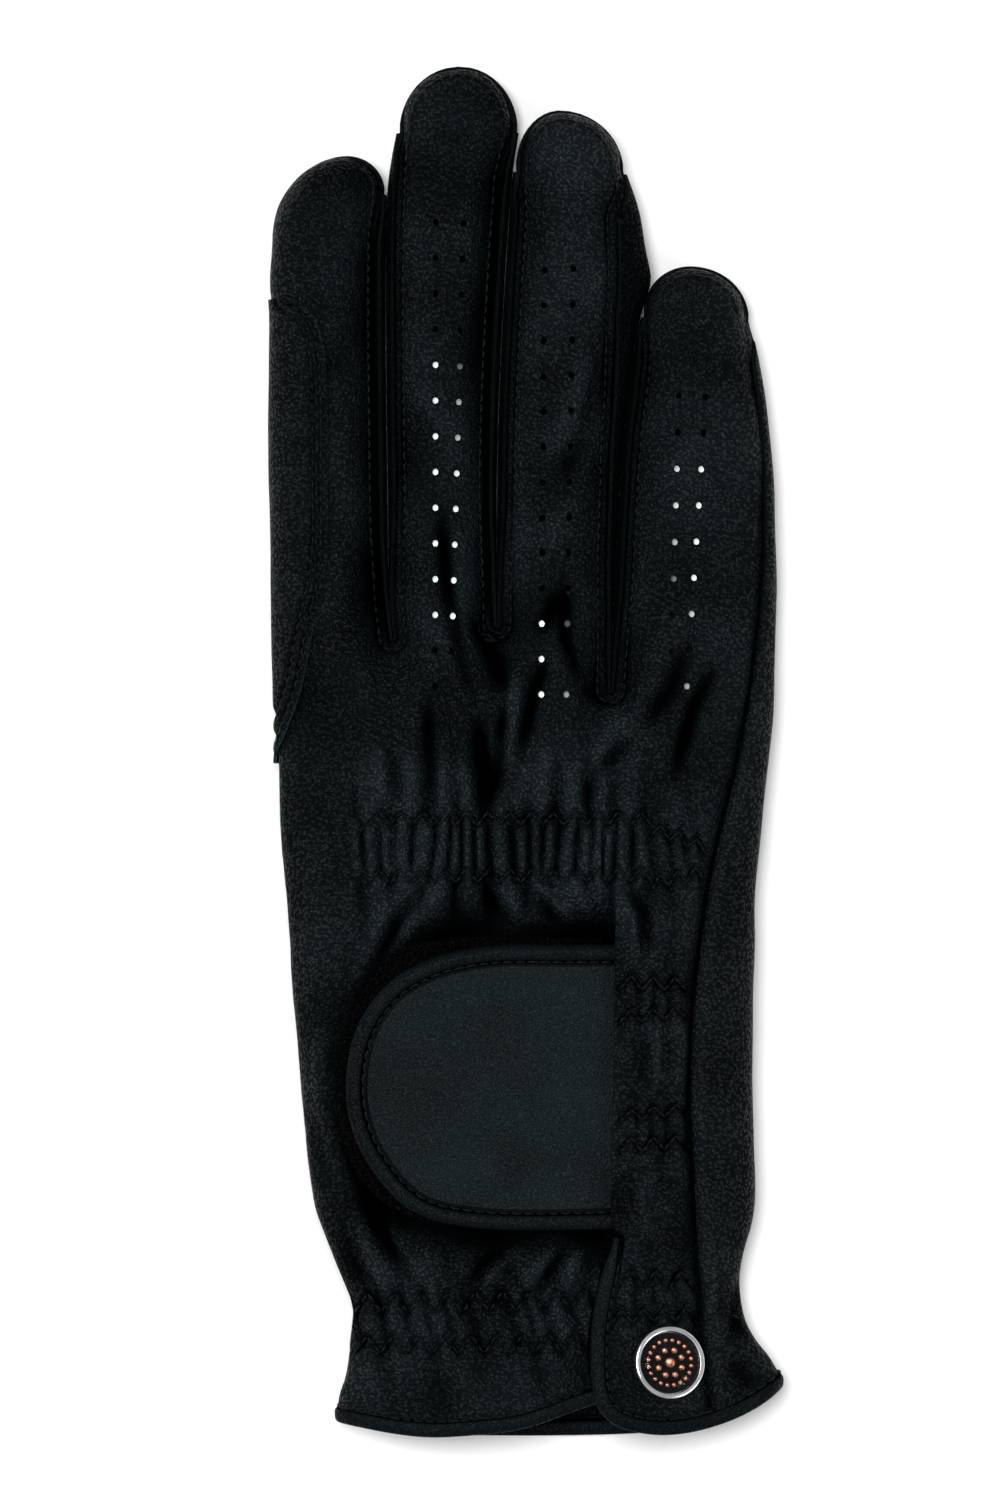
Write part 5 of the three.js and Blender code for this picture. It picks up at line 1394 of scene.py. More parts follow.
# Layers that follow the back: the patch on the index side and the cloth behind the holes.
def acrossAt(block, x, y):
    low = np.full(np.shape(y), 0.0 if block == 0 else -0.2)
    high = np.full(np.shape(y), 1.2)
    for _ in range(24):
        half = (low + high) / 2
        short = backAtLevel(block, half, y)[..., 0] < x
        low = np.where(short, half, low)
        high = np.where(short, high, half)
    return (low + high) / 2


def levelNormal(block, across, y):
    here = backAtLevel(block, across, y)
    aside = backAtLevel(block, across + 0.01, y) - here
    above = backAtLevel(block, across, y + 0.3) - here
    normal = np.cross(aside, above)
    return normal / np.linalg.norm(normal, axis=-1, keepdims=True)


def layerMesh(name, block, levels, left, right, columns, low, high, materials, relief=None):
    y = lengthAt(levels)
    start = left if np.ndim(left) else acrossAt(block, widthAt(left), y)
    end = acrossAt(block, widthAt(right), y)
    share = np.linspace(0, 1, columns + 1)
    across = mix(start[:, None], end[:, None], share[None, :])
    level = np.broadcast_to(y[:, None], across.shape)
    base = backAtLevel(block, across, level)
    normals = levelNormal(block, across, level)
    detail = relief(base) if relief else np.zeros(across.shape)
    outer = base + normals * (high + detail)[..., None]
    inner = base + normals * low
    everyColumn = list(range(columns + 1))
    everyRow = list(range(len(levels)))
    return sheetMesh(name, outer, inner, everyColumn, everyRow, lambda i, j: True, materials, detail)


# right edge of the index patch: y, x
patch = {
    "edge": [
        (-0.9, -48.4), (1.6, -45.6), (4.4, -43.0), (8.1, -41.1), (13.9, -38.2), (20, -38.0),
        (25.5, -38.0), (29.9, -38.9), (31.8, -41.0), (32.9, -44.6),
    ],
    "lift": 0.35, "thick": 0.6, "rows": 190, "columns": 44, "stitchRows": (1.25, 2.7),
}


def patchEdge():
    table = np.array(patch["edge"])
    levels = np.linspace(table[0, 0], table[-1, 0], patch["rows"])
    right = curveThrough(table[:, 0], table[:, 1])(levels)
    return levels, right


def buildPatch():
    levels, right = patchEdge()
    rim = np.stack([widthAt(right), lengthAt(levels)], axis=-1)

    def relief(base):
        flat = base.copy()
        flat[..., 2] = 0
        edge = nearest(flat, np.concatenate([rim, np.zeros((len(rim), 1))], axis=1))
        total = softNoise(base, 8.0, glove["seed"] + 5) * 0.16
        for row in patch["stitchRows"]:
            total -= 0.5 * np.exp(-(((edge - row) / 0.36) ** 2))
        return total - 0.12 * np.exp(-((edge / 0.25) ** 2))

    start = np.full(levels.shape, -glove["edgeWrap"] * 0.4)
    top = patch["lift"] + patch["thick"]
    return layerMesh(
        "indexPatch", 0, levels, start, right, patch["columns"], patch["lift"], top,
        [goatskin, rawEdge], relief,
    )


indexPatch = buildPatch()
register(indexPatch, "index_patch")

def paintLiningGlow(piece):
    # painted light: how bright the cloth glows behind each hole, kept in the crease attribute
    holes = perforationPlaces()
    spots = np.array([v.co for v in piece.data.vertices]) * 1000
    away = np.hypot(spots[:, None, 0] - holes[None, :, 0], spots[:, None, 1] - holes[None, :, 1])
    holeGlow = holes[away.argmin(axis=1), 2]
    piece.data.attributes["crease"].data.foreach_set("value", holeGlow)


# pale cloth behind some of the perforations: block, left, right, lowest and highest level
linings = [
    ("middleLining", "backing_middle", 1, -20, -9.5, 8.6, 29.5),
    ("ringLining", "backing_ring", 2, 1, 10.5, 1.0, 10.6),
    ("littleLining", "backing_little", 3, 26, 37, 3.0, 21),
]
for name, node, block, left, right, lowest, highest in linings:
    levels = np.linspace(lowest, highest, 110)
    piece = layerMesh(name, block, levels, left, right, 16, -2.2, -1.45, [liningGlow, liningGlow])
    paintLiningGlow(piece)
    register(piece, node)
print("stage 8: patch and linings")

def underTab(x, y):
    return plainTop(x, y) + ventStep(x, y, False)


def insetLine(rows, count, inset):
    points, ahead = splineThrough(rows, count)
    return points + np.stack([-ahead[:, 1], ahead[:, 0]], axis=-1) * inset, ahead


def plateMesh(name, rows, stations, cross, inset, low, high, materials, crown):
    rim = insetLine(rows, stations * 2, inset)[0]
    upper = rim[:stations]
    lower = rim[::-1][:stations]
    share = np.linspace(0, 1, cross + 1)
    flat = mix(upper[None], lower[None], share[:, None, None])
    x, y = flat[..., 0], flat[..., 1]
    base = place(x, y, underTab(x, y))
    detail = softNoise(base, 14.0, glove["seed"] + 6) * crown
    outer = base + np.array([0, 0, 1.0]) * (high + detail)[..., None]
    inner = base + np.array([0, 0, 1.0]) * low
    columns = list(range(stations))
    sheet = list(range(cross + 1))
    return sheetMesh(name, outer, inner, columns, sheet, lambda i, j: True, materials, detail * 0)


tabField = plateMesh(
    "closureTab", tab["rim"], 90, 60, tab["binding"] - 0.25, tab["low"], tab["low"] + tab["thick"],
    [tabSkin, tabSkin], 0.22,
)
register(tabField, "closure_tab")
loopPad = plateMesh(
    "loopPad", pad["rim"], 70, 40, 0, pad["low"], pad["low"] + pad["thick"] - 0.35,
    [pileGround, pileGround], 0.1,
)
register(loopPad, "loop_pad")


def sweepMesh(name, places, sides, ups, profile, material, crease=None, taper=0):
    # a closed cross-section carried along a path, with both ends capped, and its last
    # stations drawn in where it tapers
    ring = len(profile)
    points = []
    for k, (at, side, up) in enumerate(zip(places, sides, ups)):
        full = float(easeIn((len(places) - k + 1) / taper)) if taper else 1.0
        points += [at - up * (1 - full) + (side * s + up * u) * mix(0.3, 1, full) for s, u in profile]
    faces = []
    for k in range(len(places) - 1):
        for i in range(ring):
            j = (i + 1) % ring
            faces.append([k * ring + i, k * ring + j, (k + 1) * ring + j, (k + 1) * ring + i])
    last = (len(places) - 1) * ring
    faces.append([i for i in range(ring)][::-1])
    faces.append([last + i for i in range(ring)])
    values = None if crease is None else np.tile(crease, len(places))
    return addMesh(name, points, faces, [material], crease=values, sharp=60)


def tabFrame(count, inset):
    flat, ahead = insetLine(tab["rim"], count, inset)
    x, y = flat[:, 0], flat[:, 1]
    side = np.stack([-ahead[:, 1], ahead[:, 0], np.zeros(count)], axis=-1)
    lean = underTab(x + side[:, 0], y + side[:, 1]) - underTab(x - side[:, 0], y - side[:, 1])
    side[:, 2] = lean / 2
    side /= np.linalg.norm(side, axis=1, keepdims=True)
    along = np.stack([ahead[:, 0], ahead[:, 1], np.zeros(count)], axis=-1)
    up = np.cross(along, side)
    up *= np.sign(up[:, 2])[:, None]
    up /= np.linalg.norm(up, axis=1, keepdims=True)
    places = place(x, y, underTab(x, y) + tab["low"])
    return places, side, up


def bandProfile(width, thick, roll, stitchIn):
    # a rolled edge, a sewn valley and a thin inner lip, from the outer side inwards
    half = width / 2
    top = []
    for s in np.linspace(0, 1, 26):
        across = s * width
        if across < roll:
            height = thick
            if across < roll / 2:
                height = thick * math.sqrt(max(0, 1 - (1 - across / (roll / 2)) ** 2))
            height = max(height, 0.02)
            if across >= roll / 2:
                height = mix(thick, thick * 0.8, ((across - roll / 2) / (roll / 2)) ** 2)
        else:
            height = thick * 0.8
        height -= 0.5 * math.exp(-(((across - stitchIn) / 0.32) ** 2))
        if across > width - 0.3:
            height -= 0.35 * (across - width + 0.3) / 0.3
        top.append((across - half, max(height, 0.05)))
    low = [(half - 0.05, 0.0), (half * 0.3, 0.0), (-half * 0.3, 0.0), (-half + 0.45, 0.1)]
    return top + low


# painted shade: a dark line along the sewn groove of a binding, kept in the crease attribute
def bandGrooveShade(profile, stitchAt):
    return np.array([-1.2 * math.exp(-(((s - stitchAt) / 0.3) ** 2)) for s, u in profile])


tabProfile = bandProfile(tab["binding"], tab["bindingThick"], 2.6, tab["stitchIn"])
places, sides, ups = tabFrame(tab["stations"], tab["binding"] / 2)
tabBand = sweepMesh(
    "tabBinding", places, sides, ups, tabProfile, bindingSkin,
    bandGrooveShade(tabProfile, tab["stitchIn"] - tab["binding"] / 2),
)
register(tabBand, "tab_binding")
print("stage 9: tab and pad")

# Rolled binding round the wrist, then up the edge of the vent: x, y
hem = {
    "width": 3.4,
    "thick": 2.0,
    "corner": [
        (19.6, -48.5), (17.2, -48.1), (15.3, -47.2), (14.4, -45.6), (14.3, -43.6), (14.5, -41.5),
        (15.7, -38.9), (16.9, -36.9), (17.6, -35.3),
    ],
    "spacing": 0.9,
    "stitchIn": 2.75,
}


def hemPlace(angle, onFlap):
    middle, half = handSpan(lengthAt(-49))
    x = middle + half * ringAcross(angle)
    isTop = math.sin(angle) > 0
    y = float(backHem(x) if isTop else palmHem(x)) + hem["width"] / 2
    middle, half = handSpan(y)
    low = float(edgeHeight(y))
    wide = float(middle + (half - hem["thick"] * 0.2) * ringAcross(angle))
    if not isTop:
        under = max(low + (low + 0.6) * float(ringUp(angle)), 0) + hem["thick"] / 2
        return wide, y, max(under, hem["thick"] / 2)
    relief = float(handTop(x, y, onFlap) - plainTop(x, y)) * float(easeIn(math.sin(angle) * 2))
    top = low + (float(crownHeight(y)) - low) * float(ringUp(angle)) + relief - 1.15 / 2
    return wide, y, max(top, low)


def hemPath():
    middle, half = handSpan(lengthAt(-49))

    def ventAngle(percent):
        return float(angleAt((widthAt(percent) - middle) / half))

    line = []
    start = ventAngle(13.4)
    turn = 2 * math.pi
    for angle in np.linspace(start, turn + ventAngle(21.5), 220, endpoint=False):
        line.append(hemPlace(angle, angle > 1.5 * math.pi))
    corner = splineThrough(hem["corner"], 40)[0]
    for x, y in corner:
        line.append((x, y, float(handTop(x, y, True)) - 1.15 / 2))
    line = np.array(line)
    for _ in range(6):
        line[1:-1] = (line[:-2] + 2 * line[1:-1] + line[2:]) / 4
    count = int(np.linalg.norm(np.diff(line, axis=0), axis=1).sum() / hem["spacing"])
    points, ahead = evenly(line, count)
    inside = np.tile([0.0, 1.0, 0.0], (count, 1))
    cornerStart = np.linalg.norm(points[:, :2] - corner[0], axis=1).argmin()
    turned = np.stack([ahead[:, 1], -ahead[:, 0], np.zeros(count)], axis=-1)
    share = easeIn((np.arange(count) - cornerStart + 6) / 12)[:, None]
    inside = mix(inside, turned, share)
    side = inside - ahead * (inside * ahead).sum(axis=1, keepdims=True)
    side /= np.linalg.norm(side, axis=1, keepdims=True)
    up = np.cross(side, ahead)
    return points, side, up


def hemProfile():
    # top and bottom of the folded strip: full at the rim, sewn down at its inner edge
    half = hem["width"] / 2
    count = 28
    outline = []
    for i in range(count):
        turn = 2 * math.pi * i / count
        s = half * float(ringAcross(turn))
        u = hem["thick"] / 2 * float(ringUp(turn))
        valley = math.exp(-(((s + half - hem["stitchIn"]) / 0.35) ** 2))
        u -= 0.35 * valley * math.copysign(1, u)
        outline.append((s, u))
    return outline


places, sides, ups = hemPath()
profile = hemProfile()
hemBand = sweepMesh(
    "hemBinding", places, sides, ups, profile, bindingSkin,
    bandGrooveShade(profile, hem["stitchIn"] - hem["width"] / 2), 12,
)
register(hemBand, "hem_binding")
print("stage 10: hem binding")

# Snap: a rimmed cup, a dark disc with a beaded copper ring, and a clear dome over it.
snap = {
    "x": 27.0, "y": -44.4, "radius": 6.25, "lift": 0.7, "steps": 96,
    "cup": [(0, 0), (0.94, 0), (1, 0.3), (1, 1.45), (0.99, 1.68), (0.97, 1.77), (0.945, 1.8),
            (0.9, 1.8), (0.875, 1.76), (0.865, 1.6), (0.86, 0.6), (0, 0.6)],
    "inlay": [(0, 0.95), (0.84, 0.95), (0.84, 1.25), (0, 1.25)],
    "dome": [(0, 1.45), (0.83, 1.45), (0.845, 1.6), (0.8, 1.85), (0.68, 2.15), (0.5, 2.42),
             (0.3, 2.58), (0.12, 2.64), (0, 2.65)],
    "beads": 20,
}


def snapFrame():
    x = float(widthAt(snap["x"]))
    y = float(lengthAt(snap["y"]))
    reach = snap["radius"] * 0.8

    def height(dx, dy):
        return float(handTop(np.array(x + dx * reach), np.array(y + dy * reach), True))

    leanX = (height(1, 0) - height(-1, 0)) / (2 * reach)
    leanY = (height(0, 1) - height(0, -1)) / (2 * reach)
    up = np.array([-leanX, -leanY, 1.0])
    up /= np.linalg.norm(up)
    side = np.cross([0, 1.0, 0], up)
    side /= np.linalg.norm(side)
    return np.array([x, y, height(0, 0)]) + up * snap["lift"], side, np.cross(up, side), up


snapAt, snapSide, snapAhead, snapUp = snapFrame()


def latheMesh(name, profile, material, sharp=35):
    points = []
    rings = []
    for share, z in profile:
        centre = snapAt + snapUp * z
        if share == 0:
            rings.append([len(points)])
            points.append(centre)
            continue
        rings.append(list(range(len(points), len(points) + snap["steps"])))
        for i in range(snap["steps"]):
            turn = 2 * math.pi * i / snap["steps"]
            out = snapSide * math.cos(turn) + snapAhead * math.sin(turn)
            points.append(centre + out * share * snap["radius"])
    faces = []
    for a, b in zip(rings, rings[1:]):
        for i in range(snap["steps"]):
            j = (i + 1) % snap["steps"]
            if len(a) == 1:
                faces.append([a[0], b[i], b[j]])
            elif len(b) == 1:
                faces.append([a[i], a[j], b[0]])
            else:
                faces.append([a[i], a[j], b[j], b[i]])
    return addMesh(name, points, faces, [material], sharp=sharp)


register(latheMesh("snapCup", snap["cup"], nickelLook), "snap_cap")
register(latheMesh("snapGround", snap["inlay"], lacquerLook), "snap_inlay")
register(latheMesh("snapDome", snap["dome"], domeLook, 60), "snap_dome")


# Geometry Nodes trees: stitches, beads and pile loops
def treeWith(name, sockets):
    tree = bpy.data.node_groups.new(name, "GeometryNodeTree")
    tree.interface.new_socket("Geometry", in_out="INPUT", socket_type="NodeSocketGeometry")
    identifiers = {}
    for label, kind, value in sockets:
        socket = tree.interface.new_socket(label, in_out="INPUT", socket_type=kind)
        if value is not None:
            socket.default_value = value
        identifiers[label] = socket.identifier
    tree.interface.new_socket("Geometry", in_out="OUTPUT", socket_type="NodeSocketGeometry")
    return tree, addNode(tree, "NodeGroupInput").outputs, identifiers


def makeStitchTree():
    # a short arch of thread at every point, turned along the seam and away from the leather
    tree, given, identifiers = treeWith("sewnThread", [
        ("Stitch Length", "NodeSocketFloat", 0.0013),
        ("Thread Radius", "NodeSocketFloat", 0.00018),
        ("Arch", "NodeSocketFloat", 0.0004),
        ("Sink", "NodeSocketFloat", 0.0002),
        ("Seed", "NodeSocketInt", 3),
        ("Thread", "NodeSocketMaterial", None),
    ])
    half = addNode(tree, "ShaderNodeMath", {"operation": "MULTIPLY"}, {0: given["Stitch Length"], 1: 0.5})
    back = addNode(tree, "ShaderNodeMath", {"operation": "MULTIPLY"}, {0: half.outputs[0], 1: -1.0})
    down = addNode(tree, "ShaderNodeMath", {"operation": "MULTIPLY"}, {0: given["Sink"], 1: -1.0})
    start = addNode(tree, "ShaderNodeCombineXYZ", inputs={"X": back.outputs[0], "Z": down.outputs[0]})
    end = addNode(tree, "ShaderNodeCombineXYZ", inputs={"X": half.outputs[0], "Z": down.outputs[0]})
    top = addNode(tree, "ShaderNodeCombineXYZ", inputs={"Z": given["Arch"]})
    arch = addNode(tree, "GeometryNodeCurveQuadraticBezier", inputs={
        "Resolution": 5, "Start": start.outputs[0], "Middle": top.outputs[0], "End": end.outputs[0],
    })
    ring = addNode(tree, "GeometryNodeCurvePrimitiveCircle", inputs={
        "Resolution": 6, "Radius": given["Thread Radius"],
    })
    thread = addNode(tree, "GeometryNodeCurveToMesh", inputs={
        "Curve": arch.outputs[0], "Profile Curve": ring.outputs[0], "Fill Caps": True,
    })
    lean = addNode(tree, "GeometryNodeInputNamedAttribute", {"data_type": "FLOAT_VECTOR"}, {"Name": "lean"})
    lift = addNode(tree, "GeometryNodeInputNamedAttribute", {"data_type": "FLOAT_VECTOR"}, {"Name": "lift"})
    turned = addNode(tree, "FunctionNodeAlignRotationToVector", {"axis": "X"}, {
        "Vector": lean.outputs["Attribute"],
    })
    seated = addNode(tree, "FunctionNodeAlignRotationToVector", {"axis": "Z", "pivot_axis": "X"}, {
        "Rotation": turned.outputs[0], "Vector": lift.outputs["Attribute"],
    })
    vary = addNode(tree, "FunctionNodeRandomValue", {"data_type": "FLOAT"}, {
        2: 0.86, 3: 1.1, "Seed": given["Seed"],
    })
    points = addNode(tree, "GeometryNodeMeshToPoints", inputs={"Mesh": given["Geometry"]})
    placed = addNode(tree, "GeometryNodeInstanceOnPoints", inputs={
        "Points": points.outputs[0], "Instance": thread.outputs[0],
        "Rotation": seated.outputs[0], "Scale": vary.outputs[1],
    })
    solid = addNode(tree, "GeometryNodeRealizeInstances", inputs={"Geometry": placed.outputs[0]})
    smooth = addNode(tree, "GeometryNodeSetShadeSmooth", inputs={"Geometry": solid.outputs[0]})
    dyed = addNode(tree, "GeometryNodeSetMaterial", inputs={
        "Geometry": smooth.outputs[0], "Material": given["Thread"],
    })
    addNode(tree, "NodeGroupOutput", inputs={"Geometry": dyed.outputs[0]})
    return tree, identifiers


stitchTree, stitchInputs = makeStitchTree()


def growPiece(name, points, leans, lifts, tree, identifiers, values):
    # points with directions go through the tree and come back as one plain mesh
    mesh = bpy.data.meshes.new(name + "Points")
    mesh.from_pydata((np.asarray(points) / 1000).tolist(), [], [])
    for key, vectors in (("lean", leans), ("lift", lifts)):
        layer = mesh.attributes.new(key, "FLOAT_VECTOR", "POINT")
        layer.data.foreach_set("vector", np.asarray(vectors, float).ravel())
    seedObject = bpy.data.objects.new(name + "Points", mesh)
    bpy.context.scene.collection.objects.link(seedObject)
    grow = seedObject.modifiers.new("grow", "NODES")
    grow.node_group = tree
    for label, value in values.items():
        grow[identifiers[label]] = value
    evaluated = seedObject.evaluated_get(bpy.context.evaluated_depsgraph_get())
    grown = bpy.data.meshes.new_from_object(evaluated)
    grown.name = name
    seedObject.modifiers.remove(grow)
    bpy.data.objects.remove(seedObject)
    piece = bpy.data.objects.new(name, grown)
    bpy.context.scene.collection.objects.link(piece)
    register(piece, None)
    return piece


def surfaceTree(*pieces):
    points = []
    faces = []
    for piece in pieces:
        start = len(points)
        points += [v.co.copy() * 1000 for v in piece.data.vertices]
        faces += [[start + i for i in p.vertices] for p in piece.data.polygons]
    return BVHTree.FromPolygons(points, faces)


def sewAlong(lines, cover, pitch):
    # stitch places along lines seen from above, dropped onto the surface under them
    points, leans, lifts = [], [], []
    for line in lines:
        line = np.asarray(line, float)[:, :2]
        run = np.linalg.norm(np.diff(line, axis=0), axis=1).sum()
        count = max(int(run / pitch), 1)
        at, ahead = evenly(line, count * 2 + 1)
        for k in range(count):
            spots = [cover.ray_cast(Vector((*at[2 * k + m], 40)), Vector((0, 0, -1))) for m in range(3)]
            if any(s[0] is None for s in spots):
                continue
            if abs(spots[0][0].z - spots[2][0].z) > pitch * 1.5:
                continue
            step = spots[2][0] - spots[0][0]
            points.append(spots[1][0])
            leans.append(step.normalized())
            lifts.append(spots[1][1])
    return points, leans, lifts


def sew(name, lines, cover, look):
    points, leans, lifts = sewAlong(lines, cover, look["pitch"])
    values = {
        "Stitch Length": look["pitch"] * look["share"] / 1000,
        "Thread Radius": look["radius"] / 1000,
        "Arch": look["arch"] / 1000,
        "Sink": look["sink"] / 1000,
        "Seed": look["seed"],
        "Thread": threadLook,
    }
    piece = growPiece(name, points, leans, lifts, stitchTree, stitchInputs, values)
    print("  ", name, len(points), "stitches")
    return piece


backCover = surfaceTree(backPanel, palmPanel)
seamThread = {"pitch": 1.9, "share": 0.76, "radius": 0.21, "arch": 0.5, "sink": 0.12, "seed": 3}


def smoothLine(line, times):
    line = np.array(line, float)
    for _ in range(times):
        line[1:-1] = (line[:-2] + 2 * line[1:-1] + line[2:]) / 4
    return line


def fingerSeams():
    # one line for each slit and tip: down one finger's side, round the slit and up the next
    inset = seamLook["stitchIn"]
    lines = []
    up = np.linspace(0.0, 1, 300)
    ones = np.ones_like(up)
    tips = []
    for finger in range(4):
        start = 0.74 if finger == 0 else 0.0
        tips.append(backPoint(finger, np.linspace(start, 1, 60), np.ones(60))[:, :2])
    whole = [tips[0]]
    for gap in range(3):
        whole.append(backPoint(gap, ones, up[::-1])[:, :2])
        whole.append(backPoint(gap + 1, ones * 0, up)[:, :2])
        whole.append(tips[gap + 1])
    line = np.concatenate(whole)
    keep = np.concatenate([[True], np.linalg.norm(np.diff(line, axis=0), axis=1) > 1e-3])
    line = line[keep]
    fine = evenly(line, 3000)[0]
    fine = smoothLine(fine, 8)
    ahead = np.gradient(fine, axis=0)
    ahead /= np.linalg.norm(ahead, axis=1, keepdims=True)
    lines.append(fine - np.stack([-ahead[:, 1], ahead[:, 0]], axis=-1) * inset)
    return lines


sew("fingerStitches", fingerSeams(), backCover, seamThread)


def patchSeams():
    levels, right = patchEdge()
    edge = np.stack([widthAt(right), lengthAt(levels)], axis=-1)
    lines = []
    for row in patch["stitchRows"]:
        fine = evenly(edge, 400)[0]
        ahead = np.gradient(fine, axis=0)
        ahead /= np.linalg.norm(ahead, axis=1, keepdims=True)
        moved = fine + np.stack([-ahead[:, 1], ahead[:, 0]], axis=-1) * row
        lines.append(smoothLine(moved, 3)[8:-2])
    tack = [(-50.2, 32.0), (-46.6, 31.0), (-48.8, 30.6), (-45.4, 29.8)]
    lines.append(np.stack([widthAt([p[0] for p in tack]), lengthAt([p[1] for p in tack])], axis=-1))
    return lines


sew("patchStitches", patchSeams(), surfaceTree(indexPatch), {**seamThread, "seed": 5})

places, sides, ups = tabFrame(400, tab["stitchIn"])
sew(
    "tabStitches", [places[8:-8, :2]], surfaceTree(tabBand),
    {"pitch": 2.1, "share": 0.78, "radius": 0.22, "arch": 0.35, "sink": 0.1, "seed": 8},
)


def zigzagStitches(line):
    # two stitches to every leg of the zigzag
    legs = []
    for a, b in zip(line, line[1:]):
        middle = (a + b) / 2
        legs.append(np.array([mix(a, middle, 0.02), mix(a, middle, 0.98)]))
        legs.append(np.array([mix(middle, b, 0.02), mix(middle, b, 0.98)]))
    return legs


zigzagLegs = []
for row in zigzags:
    zigzagLegs += zigzagStitches(zigzagLine(*row)[:, :2])
arrow = [(-30.2, -4.9), (-34.0, -6.9), (-30.2, -9.1)]
arrowLine = np.stack([widthAt([p[0] for p in arrow]), lengthAt([p[1] for p in arrow])], axis=-1)
zigzagLegs += [evenly(arrowLine[:2], 9)[0], evenly(arrowLine[1:], 9)[0]]
sew(
    "gatherStitches", zigzagLegs, backCover,
    {"pitch": 1.3, "share": 0.98, "radius": 0.24, "arch": 0.55, "sink": 0.08, "seed": 9},
)


def hemStitchLine():
    points, side, up = hemPath()
    moved = points + side * (hem["stitchIn"] - hem["width"] / 2)
    top = up[:, 2] > 0.3
    lines = []
    run = []
    for keep, p in zip(top, moved):
        if keep:
            run.append(p[:2])
        elif len(run) > 8:
            lines.append(np.array(run))
            run = []
        else:
            run = []
    if len(run) > 8:
        lines.append(np.array(run))
    return lines


sew(
    "hemStitches", hemStitchLine(), surfaceTree(hemBand),
    {"pitch": 2.0, "share": 0.78, "radius": 0.22, "arch": 0.4, "sink": 0.1, "seed": 12},
)
print("stage 11: stitches")


def makeBeadTree():
    # a round bead at every point of the copper ring
    tree, given, identifiers = treeWith("beadRing", [
        ("Bead Radius", "NodeSocketFloat", 0.0003),
        ("Metal", "NodeSocketMaterial", None),
    ])
    bead = addNode(tree, "GeometryNodeMeshUVSphere", inputs={
        "Segments": 14, "Rings": 8, "Radius": given["Bead Radius"],
    })
    size = addNode(tree, "GeometryNodeInputNamedAttribute", {"data_type": "FLOAT_VECTOR"}, {"Name": "lean"})
    points = addNode(tree, "GeometryNodeMeshToPoints", inputs={"Mesh": given["Geometry"]})
    placed = addNode(tree, "GeometryNodeInstanceOnPoints", inputs={
        "Points": points.outputs[0], "Instance": bead.outputs[0], "Scale": size.outputs["Attribute"],
    })
    solid = addNode(tree, "GeometryNodeRealizeInstances", inputs={"Geometry": placed.outputs[0]})
    smooth = addNode(tree, "GeometryNodeSetShadeSmooth", inputs={"Geometry": solid.outputs[0]})
    dyed = addNode(tree, "GeometryNodeSetMaterial", inputs={
        "Geometry": smooth.outputs[0], "Material": given["Metal"],
    })
    addNode(tree, "NodeGroupOutput", inputs={"Geometry": dyed.outputs[0]})
    return tree, identifiers


def buildBeads():
    tree, identifiers = makeBeadTree()
    ground = 1.3
    points = []
    sizes = []
    for share, count, size in ((0.62, snap["beads"], 1.0), (0.36, 8, 1.5), (0.0, 1, 2.6)):
        for i in range(count):
            turn = 2 * math.pi * (i + 0.5) / count
            out = snapSide * math.cos(turn) + snapAhead * math.sin(turn)
            points.append(snapAt + snapUp * ground + out * share * snap["radius"])
            sizes.append((size, size, 0.35 * size))
    ups = [snapUp] * len(points)
    values = {"Bead Radius": 0.00036, "Metal": copperLook}
    return growPiece("snapBeads", points, sizes, ups, tree, identifiers, values)


buildBeads()


def makeLoopTree():
    # small standing loops of pile yarn
    tree, given, identifiers = treeWith("pileLoops", [
        ("Loop Radius", "NodeSocketFloat", 0.0003),
        ("Yarn Radius", "NodeSocketFloat", 0.00006),
        ("Seed", "NodeSocketInt", 4),
        ("Yarn", "NodeSocketMaterial", None),
    ])
    loop = addNode(tree, "GeometryNodeCurvePrimitiveCircle", inputs={
        "Resolution": 8, "Radius": given["Loop Radius"],
    })
    yarn = addNode(tree, "GeometryNodeCurvePrimitiveCircle", inputs={
        "Resolution": 4, "Radius": given["Yarn Radius"],
    })
    tube = addNode(tree, "GeometryNodeCurveToMesh", inputs={
        "Curve": loop.outputs[0], "Profile Curve": yarn.outputs[0],
    })
    points = addNode(tree, "GeometryNodeMeshToPoints", inputs={"Mesh": given["Geometry"]})
    turn = addNode(tree, "FunctionNodeRandomValue", {"data_type": "FLOAT_VECTOR"}, {
        0: (1.0, -0.5, 0.0), 1: (2.1, 0.5, 6.28), "Seed": given["Seed"],
    })
    placed = addNode(tree, "GeometryNodeInstanceOnPoints", inputs={
        "Points": points.outputs[0], "Instance": tube.outputs[0], "Rotation": turn.outputs[0],
    })
    solid = addNode(tree, "GeometryNodeRealizeInstances", inputs={"Geometry": placed.outputs[0]})
    smooth = addNode(tree, "GeometryNodeSetShadeSmooth", inputs={"Geometry": solid.outputs[0]})
    dyed = addNode(tree, "GeometryNodeSetMaterial", inputs={
        "Geometry": smooth.outputs[0], "Material": given["Yarn"],
    })
    addNode(tree, "NodeGroupOutput", inputs={"Geometry": dyed.outputs[0]})
    return tree, identifiers


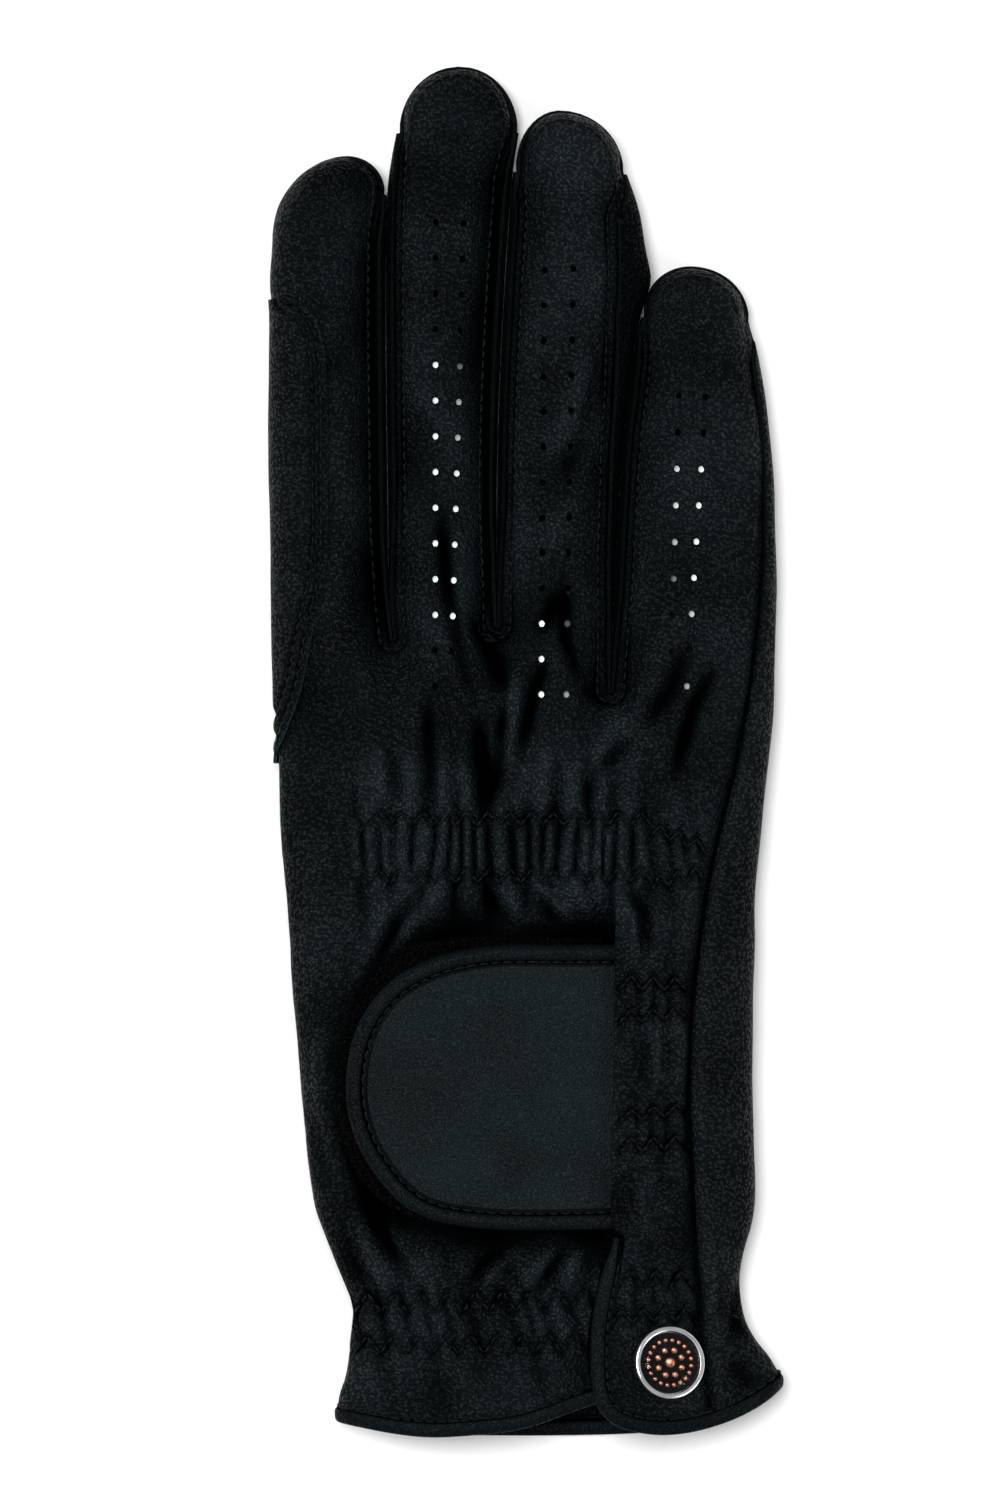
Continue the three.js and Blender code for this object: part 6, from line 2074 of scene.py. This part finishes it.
def buildLoops():
    # only the margin of the pad shows round the tab, so the loops stand there
    tree, identifiers = makeLoopTree()
    dice = np.random.default_rng(pad["seed"])
    rim, ahead = splineThrough(pad["rim"], 900)
    picked = dice.integers(40, 860, pad["loops"])
    inset = dice.uniform(0.2, 3.6, pad["loops"])
    inward = np.stack([-ahead[picked, 1], ahead[picked, 0]], axis=-1)
    flat = rim[picked] + inward * inset[:, None]
    height = underTab(flat[:, 0], flat[:, 1]) + pad["low"] + pad["thick"] - 0.3
    points = place(flat[:, 0], flat[:, 1], height)
    ups = np.tile([0, 0, 1.0], (len(points), 1))
    values = {"Loop Radius": 0.0003, "Yarn Radius": 0.00006, "Seed": 4, "Yarn": pileLook}
    return growPiece("padLoops", points, ups, ups, tree, identifiers, values)


buildLoops()
print("stage 12: beads and pile")

# Studio: pale floor, one broad light above the glove, a weak one on each side and a dim room.
studio = {
    "floor": "#f8f8f8", "floorSize": 3.0, "room": 0.32, "key": 26, "fill": 5,
    "fieldHeight": 0.2605, "centre": (-0.00443, 0.00017, 0.008), "distance": 1.5,
}


def makeFloor():
    material, tree = newMaterial("pale studio paper")
    shader = addNode(tree, "ShaderNodeBsdfPrincipled", inputs={
        "Base Color": linear(studio["floor"]), "Roughness": 0.9, "Specular IOR Level": 0.1,
    })
    finishMaterial(tree, shader)
    half = studio["floorSize"] / 2
    mesh = bpy.data.meshes.new("studioFloor")
    corners = [(-half, -half, 0), (half, -half, 0), (half, half, 0), (-half, half, 0)]
    mesh.from_pydata(corners, [], [[0, 1, 2, 3]])
    mesh.materials.append(material)
    floor = bpy.data.objects.new("studioFloor", mesh)
    bpy.context.scene.collection.objects.link(floor)


def addLight(name, at, size, power):
    light = bpy.data.lights.new(name, "AREA")
    light.shape = "DISK"
    light.size = size
    light.energy = power
    lamp = bpy.data.objects.new(name, light)
    lamp.location = at
    lamp.rotation_euler = (-Vector(at)).to_track_quat("-Z", "Y").to_euler()
    bpy.context.scene.collection.objects.link(lamp)


def addCamera():
    lens = bpy.data.cameras.new("camera")
    lens.sensor_fit = "VERTICAL"
    lens.sensor_height = 36
    lens.lens = 36 * studio["distance"] / studio["fieldHeight"]
    lens.clip_end = 20
    camera = bpy.data.objects.new("camera", lens)
    x, y, z = studio["centre"]
    camera.location = (x, y, z + studio["distance"])
    bpy.context.scene.collection.objects.link(camera)
    bpy.context.scene.camera = camera


makeFloor()
addLight("keyLight", (-0.2, 0.2, 1.7), 0.8, studio["key"])
addLight("leftLight", (-1.1, 0.4, 0.8), 0.6, studio["fill"])
addLight("rightLight", (1.1, -0.5, 0.8), 0.6, studio["fill"])
addCamera()
room = bpy.data.worlds.new("room")
room.use_nodes = True
room.node_tree.nodes["Background"].inputs["Color"].default_value = (1, 1, 1, 1)
room.node_tree.nodes["Background"].inputs["Strength"].default_value = studio["room"]
bpy.context.scene.world = room
bpy.context.scene.view_settings.view_transform = "Standard"
print("stage 13: studio")
